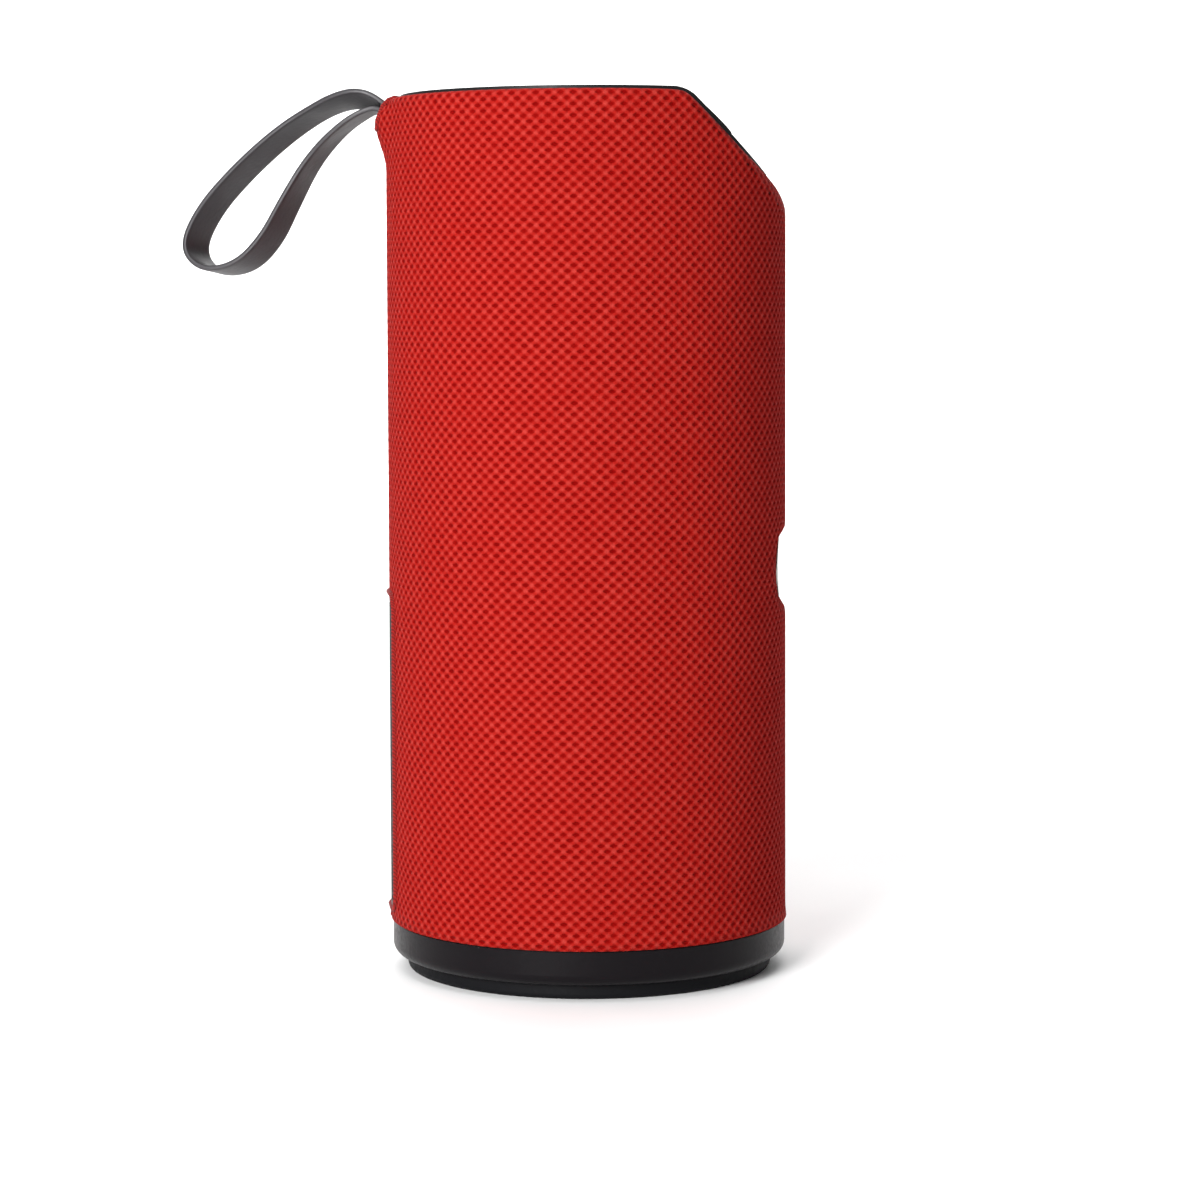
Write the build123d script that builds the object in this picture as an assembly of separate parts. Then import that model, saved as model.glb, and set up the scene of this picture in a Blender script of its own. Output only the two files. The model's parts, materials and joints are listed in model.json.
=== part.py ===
"""Portable speaker: a knit-covered cylinder with a slanted control face, a dark base and a strap loop.

Millimetres. The origin is the centre of the underside, +Z is up and +X is the front (badge and drivers).
Every function builds one piece of the speaker, and main() writes each one to parts/NODE.step.
"""

import os
from math import radians, sin, cos, sqrt

from build123d import *

# Overall
TOTAL_HEIGHT = 163.0
FABRIC_RADIUS = 37.5
FABRIC_THICKNESS = 1.0
SHELL_RADIUS = FABRIC_RADIUS - FABRIC_THICKNESS
SHELL_WALL = 2.2
INNER_RADIUS = SHELL_RADIUS - SHELL_WALL
BODY_BOTTOM = 9.1
FAR = 60.0
ROOT_TWO = sqrt(2.0)

# Slanted control face: the plane x + z = SLOPE_SUM, rounded into the flat top
SLOPE_SUM = 181.0
BEND_RADIUS = 6.3
SLOPE_X = 25.2

# Top cap, which stands a little above the fabric rim
CAP_RADIUS = 34.6
CAP_FRONT_X = 33.0
CAP_THICKNESS = 1.8
CAP_CLEARANCE = 0.1
FABRIC_TOP_DEPTH = 0.6
SHELL_TOP_DEPTH = 1.6
FABRIC_RIM_RADIUS = 34.8
LEDGE_RADIUS = 32.3
LEDGE_THICKNESS = 1.8
SKIRT_THICKNESS = 1.2
SKIRT_DEPTH = 5.0
SKIRT_FRONT_X = 10.0

# Base and foot
FOOT_RADIUS = 34.2
FOOT_HEIGHT = 2.8
FOOT_EDGE = 1.0
BASE_RADIUS = 36.9
BASE_EDGE = 2.0
BASE_FLOOR = 5.0
SPIGOT_CLEARANCE = 0.1
SPIGOT_WALL = 1.8
SPIGOT_TOP = 13.0
BASE_SCREW_X = 12.1
BASE_SCREW_Y = 28.9
COLUMN_RADIUS = 3.2
COLUMN_TOP = 17.0

# Screws that join the two shells
SHELL_SCREW_Y = 29.6
SHELL_SCREW_HEIGHTS = (22.0, 136.0)
SHELL_BOSS_RADIUS = 3.6
SHELL_BOSS_REAR_X = -18.0
SHELL_BOSS_FRONT_X = 9.0
SHELL_SCREW_SEAT_X = -5.0

# Keys on the slanted face, in a row across it
KEY_NAMES = ("mode", "prev", "play", "next")
KEY_PITCH = 11.0
KEY_UP_SLOPE = 3.0
KEY_RADIUS = 4.4
KEY_GAP = 0.3
KEY_PROUD = 0.5
KEY_TRAVEL = 0.5
KEY_FLANGE_RADIUS = 5.0
KEY_FLANGE_THICKNESS = 0.8
KEY_FLANGE_GAP = 0.3
KEY_EDGE = 0.3
PLUNGER_RADIUS = 1.2
SWITCH_TOP = -5.4
SWITCH_SIDE = 4.5
BOARD_TOP = -7.0
BOARD_THICKNESS = 1.2
KEYPAD_HALF_WIDTH = 22.0
KEYPAD_LOW = -6.5
KEYPAD_HIGH = 11.0
POST_RADIUS = 2.2
POST_SPOTS = ((-12.0, -3.5), (12.0, -3.5), (-12.0, 9.0), (12.0, 9.0))
LENS_SPOT = (0.0, -5.0)
LENS_RADIUS = 1.0
MIC_SPOT = (5.0, -5.0)
MIC_HOLE_RADIUS = 0.6
MIC_RADIUS = 2.0

# Badge dish on the front
DISH_Z = 75.1
DISH_WIDTH = 30.0
DISH_HEIGHT = 16.2
DISH_FLOOR_RADIUS = 35.6
BADGE_WIDTH = 14.0
BADGE_HEIGHT = 11.5
BADGE_THICKNESS = 0.3

# Drivers on their baffle plate
DRIVERS = {"lower": 37.0, "upper": 113.0}
BAFFLE_FRONT_X = 26.0
BAFFLE_BACK_X = 24.0
BAFFLE_HALF_WIDTH = 22.0
BAFFLE_LOW = 13.5
BAFFLE_HIGH = 139.0
BAFFLE_OPENING = 18.8
FLANGE_RADIUS = 21.6
FLANGE_THICKNESS = 1.4
DRIVER_SCREW_RADIUS = 20.1
DUST_CAP_X = 17.4
DUST_CAP_RADIUS = 4.6
DUST_CAP_RISE = 2.0
DUST_CAP_STEPS = 8
BAFFLE_SCREW_Y = 19.5
BAFFLE_SCREW_HEIGHTS = (62.0, 88.0, 136.5)
GRILLE_RADIUS = 17.0
GRILLE_SLOT = 2.6
GRILLE_PITCH = 5.0

# Passive radiator at the back
RADIATOR_Z = 106.0
RADIATOR_FRAME_X = -26.0
RADIATOR_FRAME_THICKNESS = 1.5
RADIATOR_HALF_WIDTH = 20.0
RADIATOR_HALF_HEIGHT = 22.0
RADIATOR_OPENING = 17.0
RADIATOR_SCREW_Y = 18.0
RADIATOR_SCREW_RISE = 19.5

# Port bay at the back, closed by a rubber flap
BAY_LOW = 13.0
BAY_HIGH = 69.0
BAY_HALF_WIDTH = 8.0
BAY_FLOOR_X = -33.6
BEZEL_WALL = 1.6
BEZEL_FLOOR = 1.4
BEZEL_RADIUS = 37.3
FLAP_THICKNESS = 1.4
FLAP_GAP = 0.4
FLAP_HINGE_X = -36.2
FLAP_HINGE_Y = 6.9
FLAP_BARREL_RADIUS = 0.75
FLAP_PIN_RADIUS = 0.4
FLAP_PIN_FIT = 0.05
FLAP_BARREL_Z = (BAY_LOW + 2.5, BAY_HIGH - 2.5)
FLAP_PIN_REACH = 2.0
PORT_Y = -0.8
PORT_GAP = 0.15
USB_A_Z = 22.0
CARD_Z = 36.5
MICRO_USB_Z = 47.6
AUX_Z = 56.0
SWITCH_Z = 63.9
AUX_BORE_RADIUS = 1.8
AUX_BORE_LENGTH = 13.0
AUX_BARREL_RADIUS = 2.9
KNOB_HALF_WIDTH = 1.1
KNOB_HEIGHT = 3.2
KNOB_TRAVEL = 2.0

# Main board, chassis and battery
BOARD_Y = (2.0, 3.6)
BOARD_X = (-32.0, -1.0)
BOARD_Z = (14.0, 68.0)
CHASSIS_Y = (5.4, 7.0)
BOARD_SCREWS = ((-3.5, 17.5), (-16.0, 17.5), (-3.5, 64.5), (-19.0, 64.5))
BATTERY_CENTRE = (-14.0, 16.4)
BATTERY_RADIUS = 9.2
BATTERY_Z = (14.0, 79.0)
CLIP_RADIUS = 10.6
CLIP_GAP = 0.15

# Strap: a flat moulded band looped round a steel pin inside the rear top edge
STRAP_WIDTH = 7.4
STRAP_THICKNESS = 1.1
PIN_X = -31.5
PIN_Z = 158.7
PIN_RADIUS = 1.0
PIN_HALF_LENGTH = 7.6
PIN_FIT = 0.05
STRAP_STEPS = 4
STRAP_WRAP = PIN_RADIUS + PIN_FIT + STRAP_THICKNESS / 2
# The band's route from its upper root, round the loop, to its lower root
STRAP_ROUTE = (
    (-36.0, 0.0, 160.4), (-38.8, 0.0, 162.5), (-44.2, 1.4, 162.8), (-50.4, 5.5, 160.6),
    (-57.6, 7.8, 156.0), (-65.2, 9.8, 149.4), (-71.8, 11.3, 142.2), (-75.2, 11.6, 134.9),
    (-71.4, 9.1, 130.5), (-64.6, 6.6, 131.4), (-59.5, 5.4, 136.4), (-55.7, 5.0, 143.8),
    (-51.4, 4.5, 151.4), (-46.0, 1.7, 157.0), (-41.0, 0.2, 160.2), (-38.2, 0.0, 160.8),
    (-36.0, 0.0, 158.8),
)
STRAP_UPPER_TILT = Vector(0.0, -0.87, 0.49)
STRAP_FAR_TILT = Vector(-0.52, -0.84, 0.14)
STRAP_LOWER_TILT = Vector(-0.1, -0.99, 0.1)
STRAP_UPPER_TWIST = 20.0
STRAP_LOWER_TWIST = 44.0
STRAP_ROOT_TURN = 8.0
SLOT_HALF_WIDTH = 5.2
SLOT_LOW = 154.8
EAR_GAP = 0.3
EAR_OUTER_Y = 8.2

FROM_BOTTOM = (Align.CENTER, Align.CENTER, Align.MIN)
SLOPE = Plane(
    origin=(SLOPE_X, 0, SLOPE_SUM - SLOPE_X), x_dir=(0, 1, 0), z_dir=(1, 0, 1)
)


# ---------------------------------------------------------------- shapes used by many pieces


def disc(radius, low, high):
    """An upright cylinder on the speaker's axis between two heights."""
    return Pos(0, 0, low) * Cylinder(radius, high - low, align=FROM_BOTTOM)


def tube(outer, inner, low, high):
    """An upright tube on the speaker's axis."""
    return disc(outer, low, high) - disc(inner, low, high)


def block(x, y, z):
    """A box between pairs of limits along each axis."""
    middle = [(low + high) / 2 for low, high in (x, y, z)]
    sides = [high - low for low, high in (x, y, z)]
    return Pos(*middle) * Box(*sides)


def upright(x, y, radius, low, high):
    """An upright cylinder at a spot away from the axis."""
    return Pos(x, y, 0) * disc(radius, low, high)


def rod_x(x, y, z, radius):
    """A cylinder along X between a pair of x limits."""
    return Plane(origin=(x[0], y, z), z_dir=(1, 0, 0)) * Cylinder(
        radius, x[1] - x[0], align=FROM_BOTTOM
    )


def rod_y(x, y, z, radius):
    """A cylinder along Y between a pair of y limits."""
    return Plane(origin=(x, y[0], z), z_dir=(0, 1, 0)) * Cylinder(
        radius, y[1] - y[0], align=FROM_BOTTOM
    )


def under_cap(depth):
    """Everything lower than the cap's top surface moved inwards by a depth."""
    top = TOTAL_HEIGHT - depth
    slope_sum = SLOPE_SUM - depth * ROOT_TWO
    bend = (slope_sum - top, top)
    outline = Polyline(
        (-FAR, 0), (-FAR, top), bend, (FAR, slope_sum - FAR), (FAR, 0), close=True
    )
    profile = make_face(Plane.XZ * outline)
    corner = profile.vertices().sort_by_distance((bend[0], 0, bend[1]))[0]
    rounded = fillet(corner, radius=BEND_RADIUS - depth)
    return extrude(rounded, amount=FAR, both=True)


def on_slope(across, up, depth=0.0):
    """A place on the slanted face: across it, up it, and below its surface where depth is negative."""
    return SLOPE * Pos(across, up, depth)


def peg(across, up, radius, low, high):
    """A cylinder square to the slanted face between two depths."""
    return on_slope(across, up, low) * Cylinder(radius, high - low, align=FROM_BOTTOM)


def turned(points, height):
    """A profile of (x, radius) points turned about the line along X at a height."""
    outline = make_face(Polyline(*points, close=True))
    return Pos(0, 0, height) * revolve(outline, Axis.X)


def half_roll(x, inner, outer, thickness, height, bulge):
    """The rolled rubber ring between a cone and its frame, bulging along +X or -X."""
    middle = (inner + outer) / 2
    radius = (outer - inner) / 2
    small = radius - thickness
    outline = make_face(
        ThreePointArc((x, inner), (x + bulge * radius, middle), (x, outer))
        + Line((x, outer), (x, outer - thickness))
        + ThreePointArc(
            (x, outer - thickness), (x + bulge * small, middle), (x, inner + thickness)
        )
        + Line((x, inner + thickness), (x, inner))
    )
    return Pos(0, 0, height) * revolve(outline, Axis.X)


def stadium_prism(width, height, z):
    """A round-ended prism along +X whose ends round off in its height."""
    face = Plane(origin=(0, 0, z), x_dir=(0, 1, 0), z_dir=(1, 0, 0)) * SlotOverall(width, height)
    return extrude(face, amount=FAR)


def bay_prism(margin, start_x):
    """The port bay's rounded outline, grown by a margin, from start_x out through the back."""
    low = BAY_LOW - margin
    high = BAY_HIGH + margin
    plane = Plane(origin=(start_x, 0, (low + high) / 2), x_dir=(0, 1, 0), z_dir=(-1, 0, 0))
    face = plane * RectangleRounded(
        2 * (BAY_HALF_WIDTH + margin), high - low, 2.0 + max(margin, 0.0)
    )
    return extrude(face, amount=FAR)


def grille_slots(height, direction):
    """Level slots in front of a driver, filling a circle, cut out through one side of the shell."""
    slots = []
    count = int(GRILLE_RADIUS // GRILLE_PITCH)
    for step in range(-count, count + 1):
        rise = step * GRILLE_PITCH
        half = sqrt(GRILLE_RADIUS**2 - rise**2)
        x = (0, FAR) if direction > 0 else (-FAR, 0)
        middle = height + rise
        slots.append(block(x, (-half, half), (middle - GRILLE_SLOT / 2, middle + GRILLE_SLOT / 2)))
    return slots


def screw(head_radius, head_height, shaft_radius, shaft_length):
    """A pan-head screw: the head stands on local +Z from zero and the shaft runs along -Z."""
    head = Cylinder(head_radius, head_height, align=FROM_BOTTOM)
    recess = Pos(0, 0, head_height / 2) * Box(head_radius, head_radius / 3, head_height)
    cross = Pos(0, 0, head_height / 2) * Box(head_radius / 3, head_radius, head_height)
    shaft = Pos(0, 0, -shaft_length) * Cylinder(shaft_radius, shaft_length, align=FROM_BOTTOM)
    return head - recess - cross + shaft


def group(solids):
    """Several separate solids as one node."""
    return Compound(children=list(solids))


# ---------------------------------------------------------------- outer body


def shell_screw_spots():
    return [(side * SHELL_SCREW_Y, z) for side in (-1, 1) for z in SHELL_SCREW_HEIGHTS]


def base_screw_spots():
    return [(i * BASE_SCREW_X, j * BASE_SCREW_Y) for i in (-1, 1) for j in (-1, 1)]


def whole_shell():
    """Both shells before they are parted: the wall, the cap's ledge and the screw columns."""
    outside = disc(SHELL_RADIUS, BODY_BOTTOM, TOTAL_HEIGHT) & under_cap(SHELL_TOP_DEPTH)
    shell = outside - disc(INNER_RADIUS, BODY_BOTTOM, TOTAL_HEIGHT)
    ledge = under_cap(CAP_THICKNESS) - under_cap(CAP_THICKNESS + LEDGE_THICKNESS)
    shell += ledge & tube(INNER_RADIUS, LEDGE_RADIUS, BODY_BOTTOM, TOTAL_HEIGHT)
    cap_room = disc(CAP_RADIUS + CAP_CLEARANCE, BODY_BOTTOM, TOTAL_HEIGHT) - under_cap(CAP_THICKNESS)
    shell -= cap_room & block((-FAR, CAP_FRONT_X + CAP_CLEARANCE), (-FAR, FAR), (0, TOTAL_HEIGHT))
    for x, y in base_screw_spots():
        column = upright(x, y, COLUMN_RADIUS, BASE_FLOOR, COLUMN_TOP)
        shell += column - upright(x, y, 1.05, BASE_FLOOR, COLUMN_TOP - 2)
    return shell


def front_shell():
    """Front half: grille slots for the drivers, the badge dish's floor and the baffle's rails."""
    front = block((0, FAR), (-FAR, FAR), (0, TOTAL_HEIGHT))
    inside = disc(INNER_RADIUS + 0.5, 0, TOTAL_HEIGHT)
    shell = whole_shell() & front
    shell += inside & block((32.6, FAR), (-16, 16), (64, 86))
    shell -= stadium_prism(DISH_WIDTH + 1, DISH_HEIGHT + 1, DISH_Z) - disc(
        DISH_FLOOR_RADIUS - FABRIC_THICKNESS, 0, TOTAL_HEIGHT
    )
    for side in (-1, 1):
        y = sorted((side * 20.5, side * 23.5))
        shell += inside & block((BAFFLE_FRONT_X, FAR), y, (BAFFLE_LOW, BAFFLE_HIGH))
        for z in BAFFLE_SCREW_HEIGHTS:
            pad = sorted((side * 17.5, side * 21.5))
            shell += inside & block((BAFFLE_FRONT_X, FAR), pad, (z - 2.4, z + 2.4))
            shell -= rod_x((BAFFLE_FRONT_X, 31), side * BAFFLE_SCREW_Y, z, 0.95)
    for y, z in shell_screw_spots():
        shell += inside & rod_x((0, SHELL_BOSS_FRONT_X), y, z, SHELL_BOSS_RADIUS)
        shell -= rod_x((0, SHELL_BOSS_FRONT_X - 1), y, z, 1.35)
    for height in DRIVERS.values():
        for slot in grille_slots(height, 1):
            shell -= slot
    return shell


def rear_shell():
    """Rear half: port bay opening, strap slot and pin ears, radiator rails and its grille."""
    rear = block((-FAR, 0), (-FAR, FAR), (0, TOTAL_HEIGHT))
    inside = disc(INNER_RADIUS + 0.5, 0, TOTAL_HEIGHT)
    shell = whole_shell() & rear
    for y, z in shell_screw_spots():
        shell += inside & rod_x((SHELL_BOSS_REAR_X, 0), y, z, SHELL_BOSS_RADIUS)
        shell -= rod_x((SHELL_SCREW_SEAT_X, 0), y, z, 1.6)
        shell -= rod_x((-FAR, SHELL_SCREW_SEAT_X), y, z, 2.7)
    for side in (-1, 1):
        y = sorted((side * 16.4, side * RADIATOR_HALF_WIDTH))
        x = (-FAR, RADIATOR_FRAME_X - RADIATOR_FRAME_THICKNESS)
        for end in (-1, 1):
            middle = RADIATOR_Z + end * RADIATOR_SCREW_RISE
            shell += inside & block(x, y, (middle - 2.5, middle + 2.5))
            shell -= rod_x((-31.5, x[1]), side * RADIATOR_SCREW_Y, middle, 0.95)
    shell -= bay_prism(BEZEL_WALL + 0.1, -30.0)
    for slot in grille_slots(RADIATOR_Z, -1):
        shell -= slot
    low = SLOT_LOW - 2.0
    high = TOTAL_HEIGHT - CAP_THICKNESS
    for side in (-1, 1):
        y = sorted((side * SLOT_HALF_WIDTH, side * EAR_OUTER_Y))
        shell += inside & block((-FAR, PIN_X + 2.4), y, (low, high))
    shell -= block((-FAR, -30), (-SLOT_HALF_WIDTH, SLOT_HALF_WIDTH), (SLOT_LOW, TOTAL_HEIGHT))
    shell -= rod_y(PIN_X, (-PIN_HALF_LENGTH, PIN_HALF_LENGTH), PIN_Z, PIN_RADIUS + PIN_FIT)
    return shell


def fabric_sleeve():
    """Knit cover: round the body, into the badge dish and folded over the top rim."""
    outside = disc(FABRIC_RADIUS, BODY_BOTTOM, TOTAL_HEIGHT) & under_cap(FABRIC_TOP_DEPTH)
    inside = disc(SHELL_RADIUS, BODY_BOTTOM, TOTAL_HEIGHT) & under_cap(SHELL_TOP_DEPTH)
    sleeve = outside - inside
    opening = disc(FABRIC_RIM_RADIUS, BODY_BOTTOM, TOTAL_HEIGHT)
    sleeve -= opening & block((-FAR, CAP_FRONT_X + 0.2), (-FAR, FAR), (100, TOTAL_HEIGHT))
    dish_layer = tube(SHELL_RADIUS, DISH_FLOOR_RADIUS - FABRIC_THICKNESS, 0, TOTAL_HEIGHT)
    sleeve += dish_layer & stadium_prism(DISH_WIDTH + 1, DISH_HEIGHT + 1, DISH_Z)
    sleeve -= stadium_prism(DISH_WIDTH, DISH_HEIGHT, DISH_Z) - disc(DISH_FLOOR_RADIUS, 0, TOTAL_HEIGHT)
    sleeve -= bay_prism(BEZEL_WALL + 0.1, -30.0)
    return sleeve - block((-FAR, -30), (-SLOT_HALF_WIDTH, SLOT_HALF_WIDTH), (SLOT_LOW, TOTAL_HEIGHT))


def top_cap():
    """Black top plate with the slanted control face, its skirt and the keypad's posts."""
    outline = disc(CAP_RADIUS, 100, TOTAL_HEIGHT) & block(
        (-FAR, CAP_FRONT_X), (-FAR, FAR), (0, TOTAL_HEIGHT)
    )
    cap = outline & (under_cap(0) - under_cap(CAP_THICKNESS))
    skirt = under_cap(CAP_THICKNESS) - under_cap(SKIRT_DEPTH)
    outer = LEDGE_RADIUS - CAP_CLEARANCE
    skirt = skirt & tube(outer, outer - SKIRT_THICKNESS, 100, TOTAL_HEIGHT)
    skirt = skirt & block((-FAR, SKIRT_FRONT_X), (-FAR, FAR), (0, TOTAL_HEIGHT))
    ear_room = EAR_OUTER_Y + EAR_GAP
    cap += skirt - block((-FAR, 0), (-ear_room, ear_room), (0, TOTAL_HEIGHT))
    for across, up in POST_SPOTS:
        cap += peg(across, up, POST_RADIUS, BOARD_TOP, -CAP_THICKNESS / 2)
        cap -= peg(across, up, 0.85, BOARD_TOP, -CAP_THICKNESS)
    for across in key_places().values():
        cap -= peg(across, KEY_UP_SLOPE, KEY_RADIUS + KEY_GAP, -CAP_THICKNESS - 1, 1)
    cap -= peg(*LENS_SPOT, LENS_RADIUS + 0.05, -CAP_THICKNESS - 1, 1)
    cap -= peg(*MIC_SPOT, MIC_HOLE_RADIUS, -CAP_THICKNESS - 1, 1)
    return cap


def badge_plate():
    """Plain gloss plate on the dish's floor."""
    layer = tube(DISH_FLOOR_RADIUS + BADGE_THICKNESS, DISH_FLOOR_RADIUS, 0, TOTAL_HEIGHT)
    return layer & stadium_prism(BADGE_WIDTH, BADGE_HEIGHT, DISH_Z)


def base_cap():
    """Black base ring and floor, with a spigot inside the shells."""
    base = disc(BASE_RADIUS, FOOT_HEIGHT, BODY_BOTTOM)
    base = fillet(base.edges().group_by(Axis.Z)[0], radius=BASE_EDGE)
    outer = INNER_RADIUS - SPIGOT_CLEARANCE
    base += disc(outer, BODY_BOTTOM, SPIGOT_TOP)
    base -= disc(outer - SPIGOT_WALL, BASE_FLOOR, SPIGOT_TOP)
    base -= bay_prism(BEZEL_WALL + 0.2, -31.0)
    for x, y in base_screw_spots():
        base -= upright(x, y, COLUMN_RADIUS + 0.2, BASE_FLOOR, SPIGOT_TOP)
        base -= upright(x, y, 1.5, FOOT_HEIGHT, BASE_FLOOR)
        base -= upright(x, y, 2.7, FOOT_HEIGHT, FOOT_HEIGHT + 1.2)
    return base


def foot_pad():
    """Rubber foot disc under the base."""
    pad = disc(FOOT_RADIUS, 0, FOOT_HEIGHT)
    return fillet(pad.edges().group_by(Axis.Z)[0], radius=FOOT_EDGE)


def shell_screws():
    heads_up = screw(2.4, 1.6, 1.3, 12.0)
    place = Plane(origin=(SHELL_SCREW_SEAT_X, 0, 0), z_dir=(-1, 0, 0))
    return group(Pos(0, y, z) * (place * heads_up) for y, z in shell_screw_spots())


def base_screws():
    place = Plane(origin=(0, 0, FOOT_HEIGHT + 1.2), z_dir=(0, 0, -1))
    return group(Pos(x, y, 0) * (place * screw(2.4, 1.1, 1.0, 9.0)) for x, y in base_screw_spots())


# ---------------------------------------------------------------- keys and keypad


def key_places():
    """How far across the slanted face each key is."""
    first = -KEY_PITCH * (len(KEY_NAMES) - 1) / 2
    return {name: first + i * KEY_PITCH for i, name in enumerate(KEY_NAMES)}


def key(across):
    """A round key with the flange that keeps it under the cap and the stub that meets its switch."""
    flange_top = -CAP_THICKNESS - KEY_FLANGE_GAP
    body = peg(across, KEY_UP_SLOPE, KEY_RADIUS, flange_top, KEY_PROUD)
    flange_bottom = flange_top - KEY_FLANGE_THICKNESS
    rim = body.edges().sort_by(Axis((0, 0, 0), (1, 0, 1)))[-1]
    body = fillet(rim, radius=KEY_EDGE)
    body += peg(across, KEY_UP_SLOPE, KEY_FLANGE_RADIUS, flange_bottom, flange_top)
    plunger_tip = SWITCH_TOP + KEY_TRAVEL + 0.3
    return body + peg(across, KEY_UP_SLOPE, PLUNGER_RADIUS, plunger_tip, flange_bottom)


def tact_switches():
    solids = []
    for across in key_places().values():
        body = on_slope(across, KEY_UP_SLOPE, BOARD_TOP) * Box(
            SWITCH_SIDE, SWITCH_SIDE, SWITCH_TOP - BOARD_TOP, align=FROM_BOTTOM
        )
        solids.append(body)
    return group(solids)


def keypad_board():
    middle = (KEYPAD_LOW + KEYPAD_HIGH) / 2
    board = on_slope(0, middle, BOARD_TOP - BOARD_THICKNESS) * Box(
        2 * KEYPAD_HALF_WIDTH, KEYPAD_HIGH - KEYPAD_LOW, BOARD_THICKNESS, align=FROM_BOTTOM
    )
    for across, up in POST_SPOTS:
        board -= peg(across, up, 1.1, BOARD_TOP - BOARD_THICKNESS, BOARD_TOP)
    return board


def keypad_screws():
    depth = BOARD_TOP - BOARD_THICKNESS
    solids = []
    for across, up in POST_SPOTS:
        place = Plane(
            origin=(on_slope(across, up, depth)).position, x_dir=(0, 1, 0), z_dir=(-1, 0, -1)
        )
        solids.append(place * screw(1.7, 1.0, 0.8, 5.0))
    return group(solids)


def led_lens():
    """Clear light pipe from the keypad board to the slanted face."""
    lens = peg(*LENS_SPOT, LENS_RADIUS, BOARD_TOP + 0.9, 0.05)
    return lens + peg(*LENS_SPOT, 1.6, -CAP_THICKNESS - 0.8, -CAP_THICKNESS)


def microphone():
    return peg(*MIC_SPOT, MIC_RADIUS, BOARD_TOP, BOARD_TOP + 2.2)


# ---------------------------------------------------------------- drivers


def driver_screw_spots():
    spots = []
    for height in DRIVERS.values():
        for degrees in (45, 135, 225, 315):
            turn = radians(degrees)
            spots.append((DRIVER_SCREW_RADIUS * cos(turn), height + DRIVER_SCREW_RADIUS * sin(turn)))
    return spots


def driver_baffle():
    """Flat plate across the front that both drivers are screwed to."""
    plate = block(
        (BAFFLE_BACK_X, BAFFLE_FRONT_X), (-BAFFLE_HALF_WIDTH, BAFFLE_HALF_WIDTH), (BAFFLE_LOW, BAFFLE_HIGH)
    )
    for height in DRIVERS.values():
        plate -= rod_x((20, 30), 0, height, BAFFLE_OPENING)
    for y, z in driver_screw_spots():
        plate -= rod_x((20, 30), y, z, 0.85)
    for side in (-1, 1):
        for z in BAFFLE_SCREW_HEIGHTS:
            plate -= rod_x((20, 30), side * BAFFLE_SCREW_Y, z, 1.05)
    return plate


def baffle_screws():
    place = Plane(origin=(BAFFLE_BACK_X, 0, 0), z_dir=(-1, 0, 0))
    spots = [(side * BAFFLE_SCREW_Y, z) for side in (-1, 1) for z in BAFFLE_SCREW_HEIGHTS]
    return group(Pos(0, y, z) * (place * screw(1.8, 1.2, 0.9, 6.0)) for y, z in spots)


def driver_screws():
    place = Plane(origin=(BAFFLE_BACK_X - FLANGE_THICKNESS, 0, 0), z_dir=(-1, 0, 0))
    return group(Pos(0, y, z) * (place * screw(1.4, 0.9, 0.8, 3.2)) for y, z in driver_screw_spots())


def driver_basket(height):
    """Pressed frame: flange, sloping wall with four windows, and the plate the magnet is fixed to."""
    back = BAFFLE_BACK_X
    basket = turned(
        [
            (back, 17.2), (back, FLANGE_RADIUS), (back - FLANGE_THICKNESS, FLANGE_RADIUS),
            (back - FLANGE_THICKNESS, 18.6), (13.0, 13.4), (11.8, 13.4), (11.8, 6.2), (13.0, 6.2),
            (13.0, 12.2),
        ],
        height,
    )
    for degrees in (0, 90):
        window = Box(4.5, 9.0, 50.0)
        basket -= Pos(18.2, 0, height) * (Rot(degrees, 0, 0) * window)
    for y, z in driver_screw_spots():
        basket -= rod_x((20, 30), y, z, 0.95)
    return basket


def driver_magnet(height):
    """Steel cup and magnet with the ring gap that the voice coil moves in."""
    return turned(
        [
            (4.0, 0), (4.0, 11.0), (11.8, 11.0), (11.8, 5.7), (9.8, 5.7), (9.8, 7.5),
            (6.0, 7.5), (6.0, 4.1), (12.6, 4.1), (12.6, 0),
        ],
        height,
    )


def driver_coil(height):
    """Paper former with the voice coil wound on it."""
    return turned([(8.2, 4.7), (8.2, 5.1), (17.4, 5.1), (17.4, 4.7)], height)


def driver_spider(height):
    """Springy disc that centres the coil."""
    return turned(
        [(14.0, 5.15), (14.0, 11.8), (14.4, 11.8), (14.4, 5.15)],
        height,
    )


def driver_cone(height):
    return turned([(16.8, 5.15), (23.6, 14.2), (24.1, 14.2), (17.3, 5.15)], height)


def driver_dust_cap(height):
    """Shallow dome over the middle of the cone."""
    points = [(DUST_CAP_X, 0), (DUST_CAP_X, DUST_CAP_RADIUS)]
    for step in range(1, DUST_CAP_STEPS + 1):
        turn = radians(90 * (1 - step / DUST_CAP_STEPS))
        points.append((DUST_CAP_X + DUST_CAP_RISE * cos(turn), DUST_CAP_RADIUS * sin(turn)))
    return turned(points, height)


def driver_surround(height):
    roll = half_roll(BAFFLE_BACK_X + 0.05, 14.25, 17.55, 0.45, height, 1)
    lip = turned(
        [(24.0, 17.3), (24.5, 17.3), (24.5, 18.6), (24.0, 18.6)],
        height,
    )
    return roll + lip


# ---------------------------------------------------------------- passive radiator


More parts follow.
